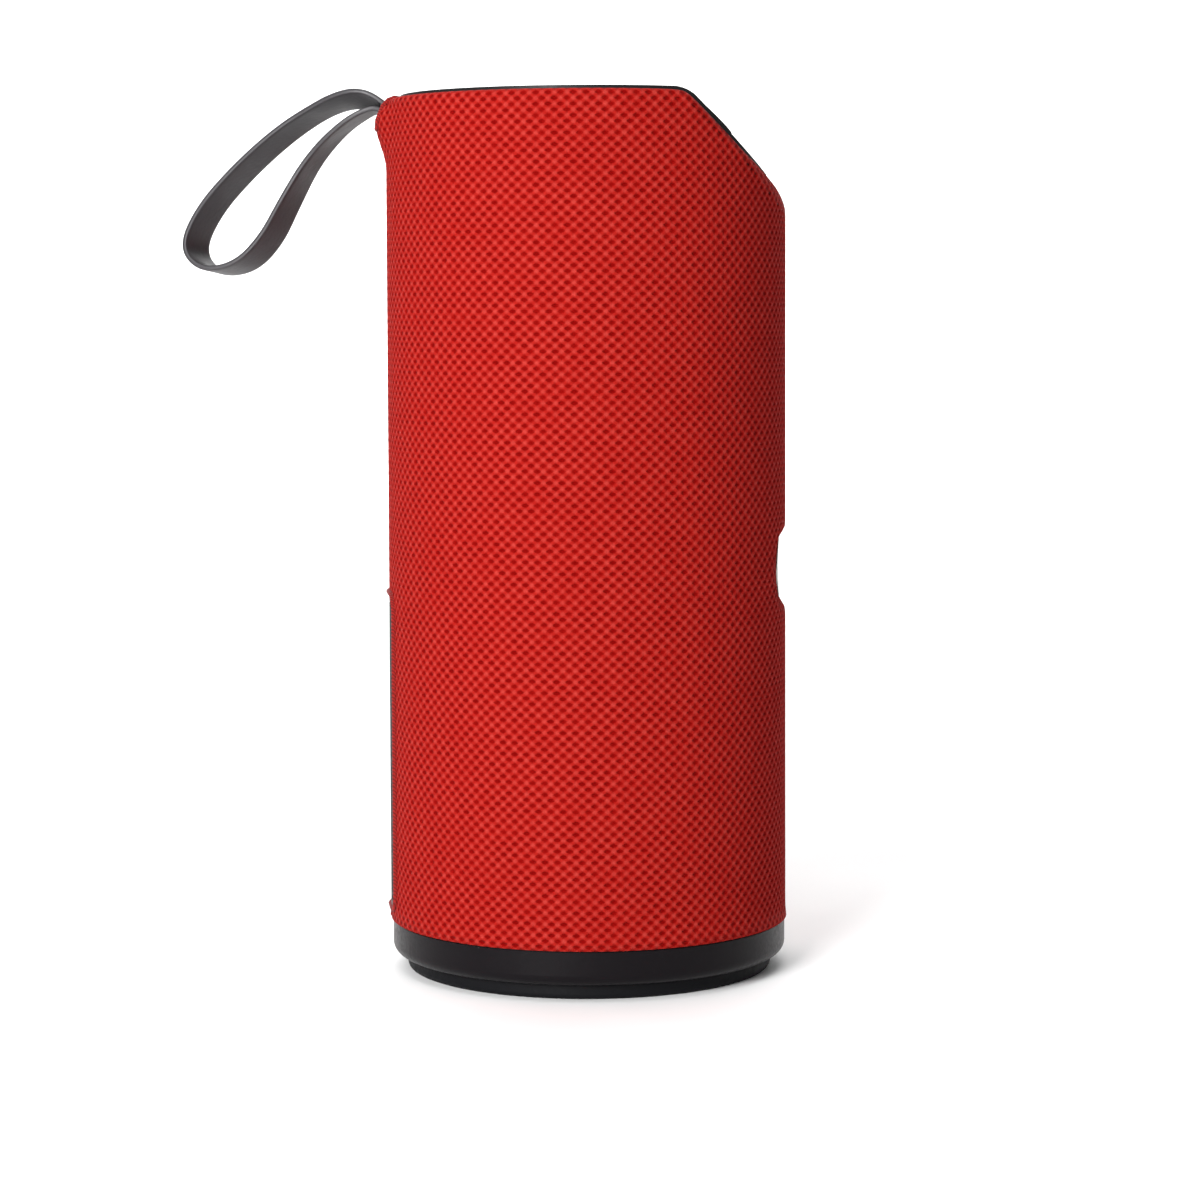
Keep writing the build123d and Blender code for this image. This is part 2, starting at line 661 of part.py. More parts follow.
def radiator_frame():
    back = RADIATOR_FRAME_X - RADIATOR_FRAME_THICKNESS
    frame = block(
        (back, RADIATOR_FRAME_X),
        (-RADIATOR_HALF_WIDTH, RADIATOR_HALF_WIDTH),
        (RADIATOR_Z - RADIATOR_HALF_HEIGHT, RADIATOR_Z + RADIATOR_HALF_HEIGHT),
    )
    frame -= rod_x((-40, -20), 0, RADIATOR_Z, RADIATOR_OPENING)
    for y, z in radiator_screw_spots():
        frame -= rod_x((-40, -20), y, z, 1.05)
    return frame


def radiator_screw_spots():
    return [
        (i * RADIATOR_SCREW_Y, RADIATOR_Z + j * RADIATOR_SCREW_RISE) for i in (-1, 1) for j in (-1, 1)
    ]


def radiator_screws():
    place = Plane(origin=(RADIATOR_FRAME_X, 0, 0), z_dir=(1, 0, 0))
    return group(Pos(0, y, z) * (place * screw(1.8, 1.2, 0.9, 4.4)) for y, z in radiator_screw_spots())


def radiator_surround():
    return half_roll(-27.0, 12.2, 17.0, 0.5, RADIATOR_Z, -1)


def radiator_plate():
    """Weighted plate that the air inside the speaker moves."""
    return turned([(-27.6, 0), (-27.6, 12.2), (-25.6, 12.2), (-25.6, 0)], RADIATOR_Z)


# ---------------------------------------------------------------- port bay


def port_box(z, height, width, depth, front=BAY_FLOOR_X):
    """A port's body: its front at the bay floor and its side on the board."""
    y_high = BOARD_Y[0]
    return block((front, front + depth), (y_high - width, y_high), (z - height / 2, z + height / 2))


def port_bezel():
    """Cup behind the flap, with an opening in its floor for each port."""
    cup = bay_prism(BEZEL_WALL, BAY_FLOOR_X + BEZEL_FLOOR) & disc(BEZEL_RADIUS, 0, TOTAL_HEIGHT)
    cup -= bay_prism(0, BAY_FLOOR_X)
    gap = PORT_GAP
    for z, height, width in ((USB_A_Z, 13.2, 5.7), (CARD_Z, 12.0, 1.9), (MICRO_USB_Z, 7.6, 2.9)):
        y = (BOARD_Y[0] - width - gap, BOARD_Y[0] + gap)
        cup -= block((-FAR, -30), y, (z - height / 2 - gap, z + height / 2 + gap))
    cup -= rod_x((-FAR, -30), PORT_Y, AUX_Z, AUX_BARREL_RADIUS + gap)
    half = KNOB_HALF_WIDTH + 0.3
    low = SWITCH_Z - (KNOB_HEIGHT + KNOB_TRAVEL) / 2 - 0.35
    high = SWITCH_Z + (KNOB_HEIGHT + KNOB_TRAVEL) / 2 + 0.35
    cup -= block((-FAR, -30), (PORT_Y - half, PORT_Y + half), (low, high))
    barrel_low, barrel_high = FLAP_BARREL_Z
    for pin in ((BAY_LOW - 1, barrel_low + FLAP_PIN_REACH), (barrel_high - FLAP_PIN_REACH, BAY_HIGH + 1)):
        cup += upright(FLAP_HINGE_X, FLAP_HINGE_Y, FLAP_PIN_RADIUS, *pin)
    return cup


def port_flap():
    """Rubber cover over the ports: the barrel down one long edge turns on the bezel's two pins."""
    layer = disc(BEZEL_RADIUS, 0, TOTAL_HEIGHT) - disc(BEZEL_RADIUS - FLAP_THICKNESS, 0, TOTAL_HEIGHT)
    panel = bay_prism(-FLAP_GAP, -30.0) & layer
    panel = panel & block((-FAR, 0), (-FAR, FLAP_HINGE_Y), (0, TOTAL_HEIGHT))
    low, high = FLAP_BARREL_Z
    notch = 2 * FLAP_BARREL_RADIUS
    panel -= upright(FLAP_HINGE_X, FLAP_HINGE_Y, notch, 0, low)
    panel -= upright(FLAP_HINGE_X, FLAP_HINGE_Y, notch, high, TOTAL_HEIGHT)
    panel += upright(FLAP_HINGE_X, FLAP_HINGE_Y, FLAP_BARREL_RADIUS, low, high)
    bore = FLAP_PIN_RADIUS + FLAP_PIN_FIT
    depth = FLAP_PIN_REACH + 0.3
    panel -= upright(FLAP_HINGE_X, FLAP_HINGE_Y, bore, low, low + depth)
    return panel - upright(FLAP_HINGE_X, FLAP_HINGE_Y, bore, high - depth, high)


def usb_a_socket():
    socket = port_box(USB_A_Z, 13.2, 5.7, 14.0)
    middle = BOARD_Y[0] - 5.7 / 2
    depth = (BAY_FLOOR_X, BAY_FLOOR_X + 12)
    cavity = block(depth, (middle - 2.35, middle + 2.35), (USB_A_Z - 6.1, USB_A_Z + 6.1))
    tongue = block(
        (BAY_FLOOR_X + 0.8, BAY_FLOOR_X + 12.5), (middle + 0.3, middle + 2.0), (USB_A_Z - 5.4, USB_A_Z + 5.4)
    )
    return socket - cavity + tongue


def card_slot():
    socket = port_box(CARD_Z, 12.0, 1.9, 14.0)
    middle = BOARD_Y[0] - 1.9 / 2
    depth = (BAY_FLOOR_X, BAY_FLOOR_X + 13)
    return socket - block(depth, (middle - 0.5, middle + 0.5), (CARD_Z - 5.5, CARD_Z + 5.5))


def micro_usb_socket():
    socket = port_box(MICRO_USB_Z, 7.6, 2.9, 5.6)
    middle = BOARD_Y[0] - 2.9 / 2
    z = (MICRO_USB_Z - 3.4, MICRO_USB_Z + 3.4)
    cavity = block((BAY_FLOOR_X, BAY_FLOOR_X + 4.8), (middle - 1.0, middle + 1.0), z)
    tongue = block((BAY_FLOOR_X + 0.6, BAY_FLOOR_X + 5), (middle, middle + 0.6), (z[0] + 1.5, z[1] - 1.5))
    return socket - cavity + tongue


def aux_jack():
    """Round socket for a 3.5 mm plug."""
    body = block((BAY_FLOOR_X + BEZEL_FLOOR + 0.2, -19.6), (PORT_Y - 2.8, BOARD_Y[0]), (AUX_Z - 3, AUX_Z + 3))
    body += rod_x((BAY_FLOOR_X, BOARD_X[0]), PORT_Y, AUX_Z, AUX_BARREL_RADIUS)
    return body - rod_x((BAY_FLOOR_X, BAY_FLOOR_X + AUX_BORE_LENGTH), PORT_Y, AUX_Z, AUX_BORE_RADIUS)


def power_switch_body():
    return block((-31.6, -26.0), (PORT_Y - 2.0, BOARD_Y[0]), (SWITCH_Z - 4.2, SWITCH_Z + 4.0))


def power_switch_knob():
    low = SWITCH_Z - (KNOB_HEIGHT + KNOB_TRAVEL) / 2
    y = (PORT_Y - KNOB_HALF_WIDTH, PORT_Y + KNOB_HALF_WIDTH)
    knob = block((-35.1, -31.9), y, (low, low + KNOB_HEIGHT))
    for step in (-1, 0, 1):
        groove = low + KNOB_HEIGHT / 2 + step * 0.9
        knob -= block((-36, -34.8), y, (groove - 0.2, groove + 0.2))
    return knob


# ---------------------------------------------------------------- board, chassis and battery


def main_board():
    board = block(BOARD_X, BOARD_Y, BOARD_Z)
    for x, z in BOARD_SCREWS:
        board -= rod_y(x, (0, 5), z, 1.15)
    return board


def board_part(x, z, width, height, thickness):
    """A flat component on the board's face."""
    y = (BOARD_Y[0] - thickness, BOARD_Y[0])
    return block((x - width / 2, x + width / 2), y, (z - height / 2, z + height / 2))


def bluetooth_module():
    return board_part(-9.0, 31.0, 12.0, 15.0, 2.0)


def board_chips():
    """Amplifier, charger and audio processor."""
    return group([
        board_part(-9.6, 45.0, 7.0, 7.0, 1.0),
        board_part(-9.5, 56.5, 5.0, 6.0, 1.4),
        board_part(-23.5, 50.0, 4.0, 5.0, 1.2),
    ])


def board_capacitors():
    """Three upright can capacitors along the board's front edge."""
    spots = ((-3.6, 44.0), (-3.6, 50.5), (-3.6, 57.0))
    return group(rod_y(x, (BOARD_Y[0] - 5.5, BOARD_Y[0]), z, 2.0) for x, z in spots)


def board_inductor():
    return board_part(-15.6, 50.0, 5.0, 5.0, 3.0)


def board_connectors():
    """Plugs for the battery, the drivers and the keypad."""
    return group([
        board_part(-9.8, 19.6, 6.0, 4.0, 4.5),
        board_part(-15.6, 58.0, 4.5, 4.0, 4.5),
        board_part(-16.4, 42.0, 4.0, 5.0, 4.5),
    ])


def board_screws():
    place = Plane(origin=(0, BOARD_Y[0], 0), z_dir=(0, -1, 0))
    return group(Pos(x, 0, z) * (place * screw(1.9, 1.2, 0.9, 3.2)) for x, z in BOARD_SCREWS)


def chassis():
    """Inner bracket on the base floor: it carries the board on standoffs and clips the battery."""
    plate = block((-29.5, -2.0), CHASSIS_Y, (BASE_FLOOR, 82.0))
    plate += block((-22.0, -2.0), (CHASSIS_Y[0], 20.0), (BASE_FLOOR, BASE_FLOOR + 1.6))
    plate += block((-21.0, -7.0), (CHASSIS_Y[0], 21.0), (BATTERY_Z[0] - 2.2, BATTERY_Z[0] - 0.2))
    x, y = BATTERY_CENTRE
    for low in (32.0, 62.0):
        plate += upright(x, y, CLIP_RADIUS, low, low + 6.0)
    plate -= upright(x, y, BATTERY_RADIUS + CLIP_GAP, BATTERY_Z[0] - 0.1, BATTERY_Z[1] + 4)
    for x, z in BOARD_SCREWS:
        plate += rod_y(x, (BOARD_Y[1], CHASSIS_Y[0] + 0.2), z, 2.2)
        plate -= rod_y(x, (BOARD_Y[1], CHASSIS_Y[1] + 1), z, 0.95)
    return plate


def battery_cell():
    x, y = BATTERY_CENTRE
    cell = upright(x, y, BATTERY_RADIUS, BATTERY_Z[0], BATTERY_Z[1] - 0.8)
    return cell + upright(x, y, 3.5, BATTERY_Z[1] - 0.8, BATTERY_Z[1])


def battery_tabs():
    """Nickel strip welded to the top of the cell."""
    x, y = BATTERY_CENTRE
    return block((x - 3, x + 3), (y - 6, y + 6), (BATTERY_Z[1], BATTERY_Z[1] + 0.2))


# ---------------------------------------------------------------- strap


def strap_pin():
    return rod_y(PIN_X, (-PIN_HALF_LENGTH, PIN_HALF_LENGTH), PIN_Z, PIN_RADIUS)


def strap_points():
    """Points down the middle of the band, on arcs that each route point pulls towards itself."""
    route = [Vector(*point) for point in STRAP_ROUTE]
    middles = [(a + b) / 2 for a, b in zip(route[1:-2], route[2:-1])]
    joints = [route[0], *middles, route[-1]]
    points = []
    for start, pull, end in zip(joints, route[1:-1], joints[1:]):
        arc = Bezier(start, pull, end)
        points += [arc @ (step / STRAP_STEPS) for step in range(STRAP_STEPS)]
    return [*points, route[-1]]


def eased(share):
    """0 to 1 with level ends."""
    share = min(max(share, 0.0), 1.0)
    return share * share * (3 - 2 * share)


def strap_across(run, length):
    """Direction across the band: level at both roots, and leaning most at the loop's far end."""
    out = eased(run / STRAP_UPPER_TWIST)
    back = eased((length - run) / STRAP_LOWER_TWIST)
    upper = STRAP_UPPER_TILT * (1 - out) + STRAP_FAR_TILT * out
    tilt = upper * back + STRAP_LOWER_TILT * (1 - back)
    share = eased(min(run, length - run) / STRAP_ROOT_TURN)
    return tilt.normalized() * share + Vector(0, -1, 0) * (1 - share)


def strap_band():
    """The loop outside: a flat section carried along the route and turned as it goes."""
    points = strap_points()
    runs = [0.0]
    for before, after in zip(points, points[1:]):
        runs.append(runs[-1] + (after - before).length)
    sections = []
    for i, point in enumerate(points):
        travel = points[min(i + 1, len(points) - 1)] - points[max(i - 1, 0)]
        width = strap_across(runs[i], runs[-1])
        width = width - travel * (width.dot(travel) / travel.dot(travel))
        plane = Plane(origin=point, x_dir=width, z_dir=travel)
        sections.append(plane * Rectangle(STRAP_WIDTH, STRAP_THICKNESS))
    return loft(sections, ruled=True)


def strap_loop():
    """Flat moulded band: a leaning loop outside, and a short eye round the pin inside."""
    half = STRAP_WIDTH / 2
    eye = rod_y(PIN_X, (-half, half), PIN_Z, STRAP_WRAP + STRAP_THICKNESS / 2)
    for root, side in ((STRAP_ROUTE[0], 1), (STRAP_ROUTE[-1], -1)):
        x, z = root[0] - 0.1, root[2]
        wrap_z = PIN_Z + side * STRAP_WRAP
        leg = Polyline(
            (PIN_X, wrap_z + STRAP_THICKNESS / 2),
            (x, z + STRAP_THICKNESS / 2),
            (x, z - STRAP_THICKNESS / 2),
            (PIN_X, wrap_z - STRAP_THICKNESS / 2),
            close=True,
        )
        eye += extrude(make_face(Plane.XZ * leg), amount=half, both=True)
    eye -= rod_y(PIN_X, (-half - 1, half + 1), PIN_Z, PIN_RADIUS + PIN_FIT)
    return strap_band() + eye


# ---------------------------------------------------------------- writing


def pieces():
    """Every piece by its node name."""
    made = {
        "front_shell": front_shell(),
        "rear_shell": rear_shell(),
        "fabric_sleeve": fabric_sleeve(),
        "top_cap": top_cap(),
        "badge_plate": badge_plate(),
        "base_cap": base_cap(),
        "foot_pad": foot_pad(),
        "shell_screws": shell_screws(),
        "base_screws": base_screws(),
        "tact_switches": tact_switches(),
        "keypad_board": keypad_board(),
        "keypad_screws": keypad_screws(),
        "led_lens": led_lens(),
        "microphone": microphone(),
        "driver_baffle": driver_baffle(),
        "baffle_screws": baffle_screws(),
        "driver_screws": driver_screws(),
        "radiator_frame": radiator_frame(),
        "radiator_screws": radiator_screws(),
        "radiator_surround": radiator_surround(),
        "radiator_plate": radiator_plate(),
        "port_bezel": port_bezel(),
        "port_flap": port_flap(),
        "usb_a_socket": usb_a_socket(),
        "card_slot": card_slot(),
        "micro_usb_socket": micro_usb_socket(),
        "aux_jack": aux_jack(),
        "power_switch_body": power_switch_body(),
        "power_switch_knob": power_switch_knob(),
        "main_board": main_board(),
        "bluetooth_module": bluetooth_module(),
        "board_chips": board_chips(),
        "board_capacitors": board_capacitors(),
        "board_inductor": board_inductor(),
        "board_connectors": board_connectors(),
        "board_screws": board_screws(),
        "chassis": chassis(),
        "battery_cell": battery_cell(),
        "battery_tabs": battery_tabs(),
        "strap_pin": strap_pin(),
        "strap_loop": strap_loop(),
    }
    for name, across in key_places().items():
        made[f"key_{name}"] = key(across)
    for name, height in DRIVERS.items():
        made[f"{name}_basket"] = driver_basket(height)
        made[f"{name}_magnet"] = driver_magnet(height)
        made[f"{name}_coil"] = driver_coil(height)
        made[f"{name}_spider"] = driver_spider(height)
        made[f"{name}_cone"] = driver_cone(height)
        made[f"{name}_dust_cap"] = driver_dust_cap(height)
        made[f"{name}_surround"] = driver_surround(height)
    return made


def main():
    os.makedirs("parts", exist_ok=True)
    for name, shape in pieces().items():
        export_step(shape, f"parts/{name}.step")


main()
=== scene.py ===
"""Looks of the portable speaker: knitted sleeve, strap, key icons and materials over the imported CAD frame.

Metres, in the CAD's own frame: the origin is the centre of the underside, +Z is up and +X is the front.
"""

import json
from math import cos, pi, radians, sin, sqrt

import bpy
import numpy as np
from mathutils import Matrix, Vector


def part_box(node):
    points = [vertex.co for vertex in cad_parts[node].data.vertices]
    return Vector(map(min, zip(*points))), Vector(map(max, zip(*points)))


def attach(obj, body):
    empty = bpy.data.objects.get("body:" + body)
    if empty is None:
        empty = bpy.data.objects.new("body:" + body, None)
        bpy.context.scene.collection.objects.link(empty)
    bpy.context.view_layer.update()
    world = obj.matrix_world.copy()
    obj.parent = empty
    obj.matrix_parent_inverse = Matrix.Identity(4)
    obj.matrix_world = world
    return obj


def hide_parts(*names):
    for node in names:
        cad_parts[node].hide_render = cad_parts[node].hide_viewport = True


MM = 0.001

# Camera: straight at the speaker's side, a little below its top
CAMERA_DISTANCE = 622 * MM
CAMERA_HEIGHT = 126.9 * MM
CAMERA_LENS = 99.6
CAMERA_SENSOR = 36
CAMERA_TILT = radians(3.72)
CAMERA_ROLL = radians(0.2)
CAMERA_SHIFT = (0.011, -0.0782)

# Knit: lens-shaped holes in staggered rows. A hole's size is a share of one column and of two rows.
KNIT_COLUMNS = 104
KNIT_ROW = 1.01 * MM
HOLE_HALF_WIDTH = 0.25
HOLE_HALF_HEIGHT = 0.25
# The painted shade in a hole's middle is half as tall as the hole
HOLE_SHADE_HALF_HEIGHT = 0.125
HOLE_BANK = (-0.1, 0.8)
KNIT_DEPTH = 0.26 * MM
COLUMN_STEPS = 4

# Sleeve: drawn this much inside the CAD's, with a turned hem below and a rolled edge beside the cap
KNIT_TIGHTNESS = 0.4 * MM
ROLL_HEIGHT = 1.4 * MM
ROLL_FRONT = 1.0 * MM
ROLL_TUCK = 0.6 * MM
ROLL_STEPS = 10
ROLL_PROUD = 0.5 * MM
ROLL_FULLNESS = 0.8
ROLL_WIDTH = 2.7 * MM
FRONT_START = 0.75
FRONT_FULL = 0.95
LEAST_FORWARD = 0.01
HEM_HEIGHT = 1.6 * MM
HEM_BULGE = 0.25 * MM
HEM_TUCK = 0.9 * MM
HEM_LIP = 0.3 * MM
CAP_GAP = 0.2 * MM

# Badge dish, strap slot and port bay, as in the CAD
SLOPE_SUM = 181.0 * MM
BEND_SOFTNESS = 1.1 * MM
DISH_Z = 75.1 * MM
DISH_HALF_WIDTH = 15.0 * MM
DISH_HALF_HEIGHT = 8.1 * MM
DISH_BANK = 3.2 * MM
DISH_DEPTH = 1.4 * MM
SLOT_HALF_WIDTH = 5.2 * MM
SLOT_LOW = 156.9 * MM
SLOT_CORNER = 1.4 * MM
SLOT_CORNER_STEPS = 5
BULGE_START = 149.3 * MM
BULGE_FULL = 158.4 * MM
BULGE_FADE = 159.0 * MM
BULGE_END = 162.4 * MM
BULGE_PROUD = 2.0 * MM
BULGE_WIDTH = 8.5 * MM
BAY_CORNER = 3.6 * MM
BAY_CORNER_STEPS = 8
PIPING_RADIUS = 0.6 * MM
PIPING_SIDES = 10
PIPING_OVER_ROLL = (0.25 * pi, 0.5 * pi, 0.75 * pi)
SEAM_HALF_WIDTH = 2.2 * MM
SEAM_FLAT_SHARE = 0.7
SEAM_PROUD = 0.22 * MM

# Strap: the CAD's route, in metres, and its flat section
STRAP_ROUTE = (
    (-0.0360, 0.0, 0.1604), (-0.0388, 0.0, 0.1625), (-0.0442, 0.0014, 0.1628),
    (-0.0504, 0.0055, 0.1606), (-0.0576, 0.0078, 0.1560), (-0.0652, 0.0098, 0.1494),
    (-0.0718, 0.0113, 0.1422), (-0.0752, 0.0116, 0.1349), (-0.0714, 0.0091, 0.1305),
    (-0.0646, 0.0066, 0.1314), (-0.0595, 0.0054, 0.1364), (-0.0557, 0.0050, 0.1438),
    (-0.0514, 0.0045, 0.1514), (-0.0460, 0.0017, 0.1570), (-0.0410, 0.0002, 0.1602),
    (-0.0382, 0.0, 0.1608), (-0.0360, 0.0, 0.1588),
)
STRAP_WIDTH = 7.4 * MM
STRAP_THICKNESS = 1.1 * MM
STRAP_UPPER_TILT = Vector((0.0, -0.87, 0.49))
STRAP_FAR_TILT = Vector((-0.52, -0.84, 0.14))
STRAP_LOWER_TILT = Vector((-0.1, -0.99, 0.1))
STRAP_UPPER_TWIST = 20 * MM
STRAP_LOWER_TWIST = 44 * MM
STRAP_ROOT_TURN = 8 * MM
STRAP_SECTION_STEPS = 28
STRAP_EDGE_ROUNDING = 0.22
STRAP_ROUTE_STEPS = 10
EYE_CLEARANCE = 0.05 * MM
EYE_OVERLAP = Vector((-0.1 * MM, 0, 0))
EYE_STEPS = 16

# Key icons, printed on the keys' tops
ICON_SIZE = 1.5 * MM
ICON_STROKE = 0.32 * MM
ICON_RELIEF = 0.04 * MM
ICON_ARROW_HALF_HEIGHT = 0.6
ICON_BAR_HALF_HEIGHT = 0.6 * ICON_SIZE
ICON_RING_RADIUS = 0.8 * ICON_SIZE
ICON_RING_MARK = 0.35 * ICON_SIZE
ICON_RING_OPEN_DEGREES = 60
ICON_RING_STEPS = 24
FACE_FLATNESS = 1e-6

# Knit colours, from the darkest to the brightest: painted shade in the holes and beside the threads, the
# yarn's own fibre, patch and thread tones, and a painted highlight where threads cross
KNIT_PAINTED_HOLE_SHADE = (0.15, 0.0002, 0.0001, 1)
KNIT_PAINTED_SIDE_SHADE = (0.18, 0.001, 0.0005, 1)
KNIT_FIBRE = (0.22, 0.002, 0.001, 1)
KNIT_PATCH = (0.24, 0.003, 0.002, 1)
KNIT_THREAD = (0.28, 0.010, 0.007, 1)
KNIT_PAINTED_CREST_HIGHLIGHT = (0.37, 0.036, 0.029, 1)

# Plain surfaces, by the record's material slots: grain is its noise's scale and depth its bump in mm
SURFACES = {
    "shell_plastic": dict(colour=(0.011, 0.011, 0.012), roughness=0.55, grain=1400, depth=0.05, shine=0.15),
    "cap_plastic": dict(colour=(0.012, 0.012, 0.013), roughness=0.42, grain=1600, depth=0.03, shine=0.15),
    "base_plastic": dict(colour=(0.004, 0.003, 0.004), roughness=0.34, grain=1500, depth=0.03, shine=0.1),
    "foot_rubber": dict(colour=(0.004, 0.004, 0.005), roughness=0.6, grain=1100, depth=0.06, shine=0.1),
    "badge_gloss": dict(colour=(0.30, 0.29, 0.27), roughness=0.30, grain=900, depth=0.01, metallic=1.0),
    "key_rubber": dict(colour=(0.014, 0.014, 0.015), roughness=0.60, grain=1500, depth=0.04, shine=0.15),
    "screw_steel": dict(colour=(0.45, 0.45, 0.46), roughness=0.32, grain=900, depth=0.02, metallic=1.0),
    "magnet_steel": dict(colour=(0.36, 0.36, 0.37), roughness=0.38, grain=500, depth=0.03, metallic=1.0),
    "basket_steel": dict(colour=(0.012, 0.012, 0.012), roughness=0.45, grain=1200, depth=0.04),
    "cone_paper": dict(colour=(0.016, 0.015, 0.014), roughness=0.85, grain=800, depth=0.10, shine=0.15),
    "surround_rubber": dict(colour=(0.008, 0.008, 0.008), roughness=0.5, grain=700, depth=0.02, shine=0.15),
    "spider_cloth": dict(colour=(0.42, 0.26, 0.06), roughness=0.85, grain=2200, depth=0.12),
    "coil_former": dict(
        colour=(0.32, 0.13, 0.03), roughness=0.35, grain=1200, depth=0.06, metallic=0.6, variation=0.25,
        stretch=(12.0, 1.0, 1.0),
    ),
    "chip_black": dict(colour=(0.008, 0.008, 0.009), roughness=0.5, grain=1800, depth=0.02),
    "part_metal": dict(
        colour=(0.50, 0.50, 0.51), roughness=0.28, grain=700, depth=0.01, metallic=1.0, variation=0.1,
        stretch=(1.0, 1.0, 8.0),
    ),
    "connector_white": dict(colour=(0.62, 0.58, 0.50), roughness=0.5, grain=900, depth=0.02),
    "bezel_plastic": dict(colour=(0.009, 0.009, 0.010), roughness=0.45, grain=1400, depth=0.03, shine=0.15),
    "battery_wrap": dict(colour=(0.012, 0.045, 0.21), roughness=0.25, grain=250, depth=0.02),
}

# Lights: each one's place, what it faces, its size and its power. The key is on the camera's left.
SPEAKER_MIDDLE = (0, 0, 0.08)
LIGHTS = {
    "key": dict(place=(-0.55, -1.10, 0.50), target=SPEAKER_MIDDLE, size=(0.5, 0.7), power=27),
    "top": dict(place=(-0.1, -0.1, 1.3), target=SPEAKER_MIDDLE, size=(0.9, 0.9), power=7),
    "backdrop": dict(place=(0, 1.0, 1.3), target=(0, 3.1, 0.5), size=(2.6, 1.0), power=75),
    "far_floor": dict(place=(0, 1.2, 1.6), target=(0, 1.4, 0), size=(2.6, 1.4), power=30),
}
WORLD_LIGHT = 0.15

# Floor: flat to where it starts to curve up into the backdrop
FLOOR_HALF_WIDTH = 4.0
FLOOR_FRONT_Y = -3.0
FLOOR_CURVE_Y = 2.2
FLOOR_CURVE_RADIUS = 0.9
FLOOR_CURVE_STEPS = 12
BACKDROP_HEIGHT = 3.0


# ---------------------------------------------------------------- meshes


def add_mesh(name, vertices, faces, material, smooth=True):
    mesh = bpy.data.meshes.new(name)
    mesh.from_pydata([tuple(v) for v in vertices], [], [tuple(f) for f in faces])
    mesh.validate()
    mesh.update()
    for polygon in mesh.polygons:
        polygon.use_smooth = smooth
    piece = bpy.data.objects.new(name, mesh)
    bpy.context.scene.collection.objects.link(piece)
    mesh.materials.append(material)
    return piece


def grid_faces(rows, columns, wrap, start=0):
    """Quads between neighbouring rows of vertices, closing round the columns where wrap is set."""
    row, column = np.meshgrid(
        np.arange(rows - 1), np.arange(columns if wrap else columns - 1), indexing="ij"
    )
    after = (column + 1) % columns
    here, above = row * columns, (row + 1) * columns
    corners = (here + column, here + after, above + after, above + column)
    return np.stack([corner.ravel() for corner in corners], axis=1) + start


def smoothstep(low, high, value):
    share = np.clip((value - low) / (high - low), 0.0, 1.0)
    return share * share * (3 - 2 * share)


def sweep(name, path, sections, material, closed=False):
    """A skin over rings of points set along a path, with flat ends unless it closes on itself."""
    count = len(sections[0])
    vertices = [point for section in sections for point in section]
    rows = len(path)
    faces = [tuple(f) for f in grid_faces(rows, count, True)]
    if closed:
        last = (rows - 1) * count
        faces += [(last + i, last + (i + 1) % count, (i + 1) % count, i) for i in range(count)]
    else:
        faces.append(tuple(reversed(range(count))))
        faces.append(tuple(range((rows - 1) * count, rows * count)))
    return add_mesh(name, vertices, faces, material)


# ---------------------------------------------------------------- knitted sleeve


def wrapped_angle(angle):
    return (angle + pi) % (2 * pi) - pi


def hole_share(angle, z):
    """1 at the middle of a knit hole and 0 or less outside it."""
    across = angle * KNIT_COLUMNS / (2 * pi)
    up = z / (2 * KNIT_ROW)
    best = -np.ones_like(across + up)
    for offset in (0.0, 0.5):
        dx = (across + offset + 0.5) % 1.0 - 0.5
        dz = (up + offset + 0.5) % 1.0 - 0.5
        inside = 1 - (dx / HOLE_HALF_WIDTH) ** 2 - (dz / HOLE_HALF_HEIGHT) ** 2
        best = np.maximum(best, inside)
    return best


def rim_height(x, top):
    """Height of the fabric's rim at a distance to the front, with the bend rounded."""
    slope = SLOPE_SUM - (top_depth(top) * sqrt(2)) - x
    return 0.5 * (top + slope - np.sqrt((top - slope) ** 2 + BEND_SOFTNESS**2))


def top_depth(top):
    """How far the rim is below the cap's own top."""
    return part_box("top_cap")[1].z - top


def dish_depth(angle, z, radius):
    across = np.abs(radius * wrapped_angle(angle))
    straight = DISH_HALF_WIDTH - DISH_HALF_HEIGHT
    beyond = np.hypot(np.maximum(across - straight, 0), z - DISH_Z)
    return DISH_DEPTH * smoothstep(0, DISH_BANK, DISH_HALF_HEIGHT - beyond)


def strap_bulge(angle, z, radius):
    """The cloth is pushed out where the strap comes over its lip."""
    across = radius * wrapped_angle(angle - pi)
    spread = np.exp(-((across / BULGE_WIDTH) ** 4))
    rise = smoothstep(BULGE_START, BULGE_FULL, z) * smoothstep(BULGE_END, BULGE_FADE, z)
    return BULGE_PROUD * spread * rise


def sleeve_shape(angle, z, low, radius):
    """The cloth's surface without its knit: body, hem, dish, bulge and back seam."""
    from_low = z - low
    hem = HEM_BULGE * np.exp(-(((from_low - HEM_HEIGHT / 2) / (HEM_HEIGHT / 2)) ** 2))
    across = radius * wrapped_angle(angle - pi)
    seam = SEAM_PROUD * smoothstep(SEAM_HALF_WIDTH, SEAM_FLAT_SHARE * SEAM_HALF_WIDTH, np.abs(across))
    return radius + hem + seam - dish_depth(angle, z, radius) + strap_bulge(angle, z, radius)


def knit_relief(angle, z, low, top, radius):
    """Depth of the knit's holes, fading out at both edges."""
    from_rim = rim_height(radius * np.cos(angle), top) - z
    edge = smoothstep(HEM_HEIGHT, 2 * HEM_HEIGHT, z - low) * smoothstep(0, HEM_HEIGHT, from_rim)
    return KNIT_DEPTH * edge * smoothstep(*HOLE_BANK, hole_share(angle, z))


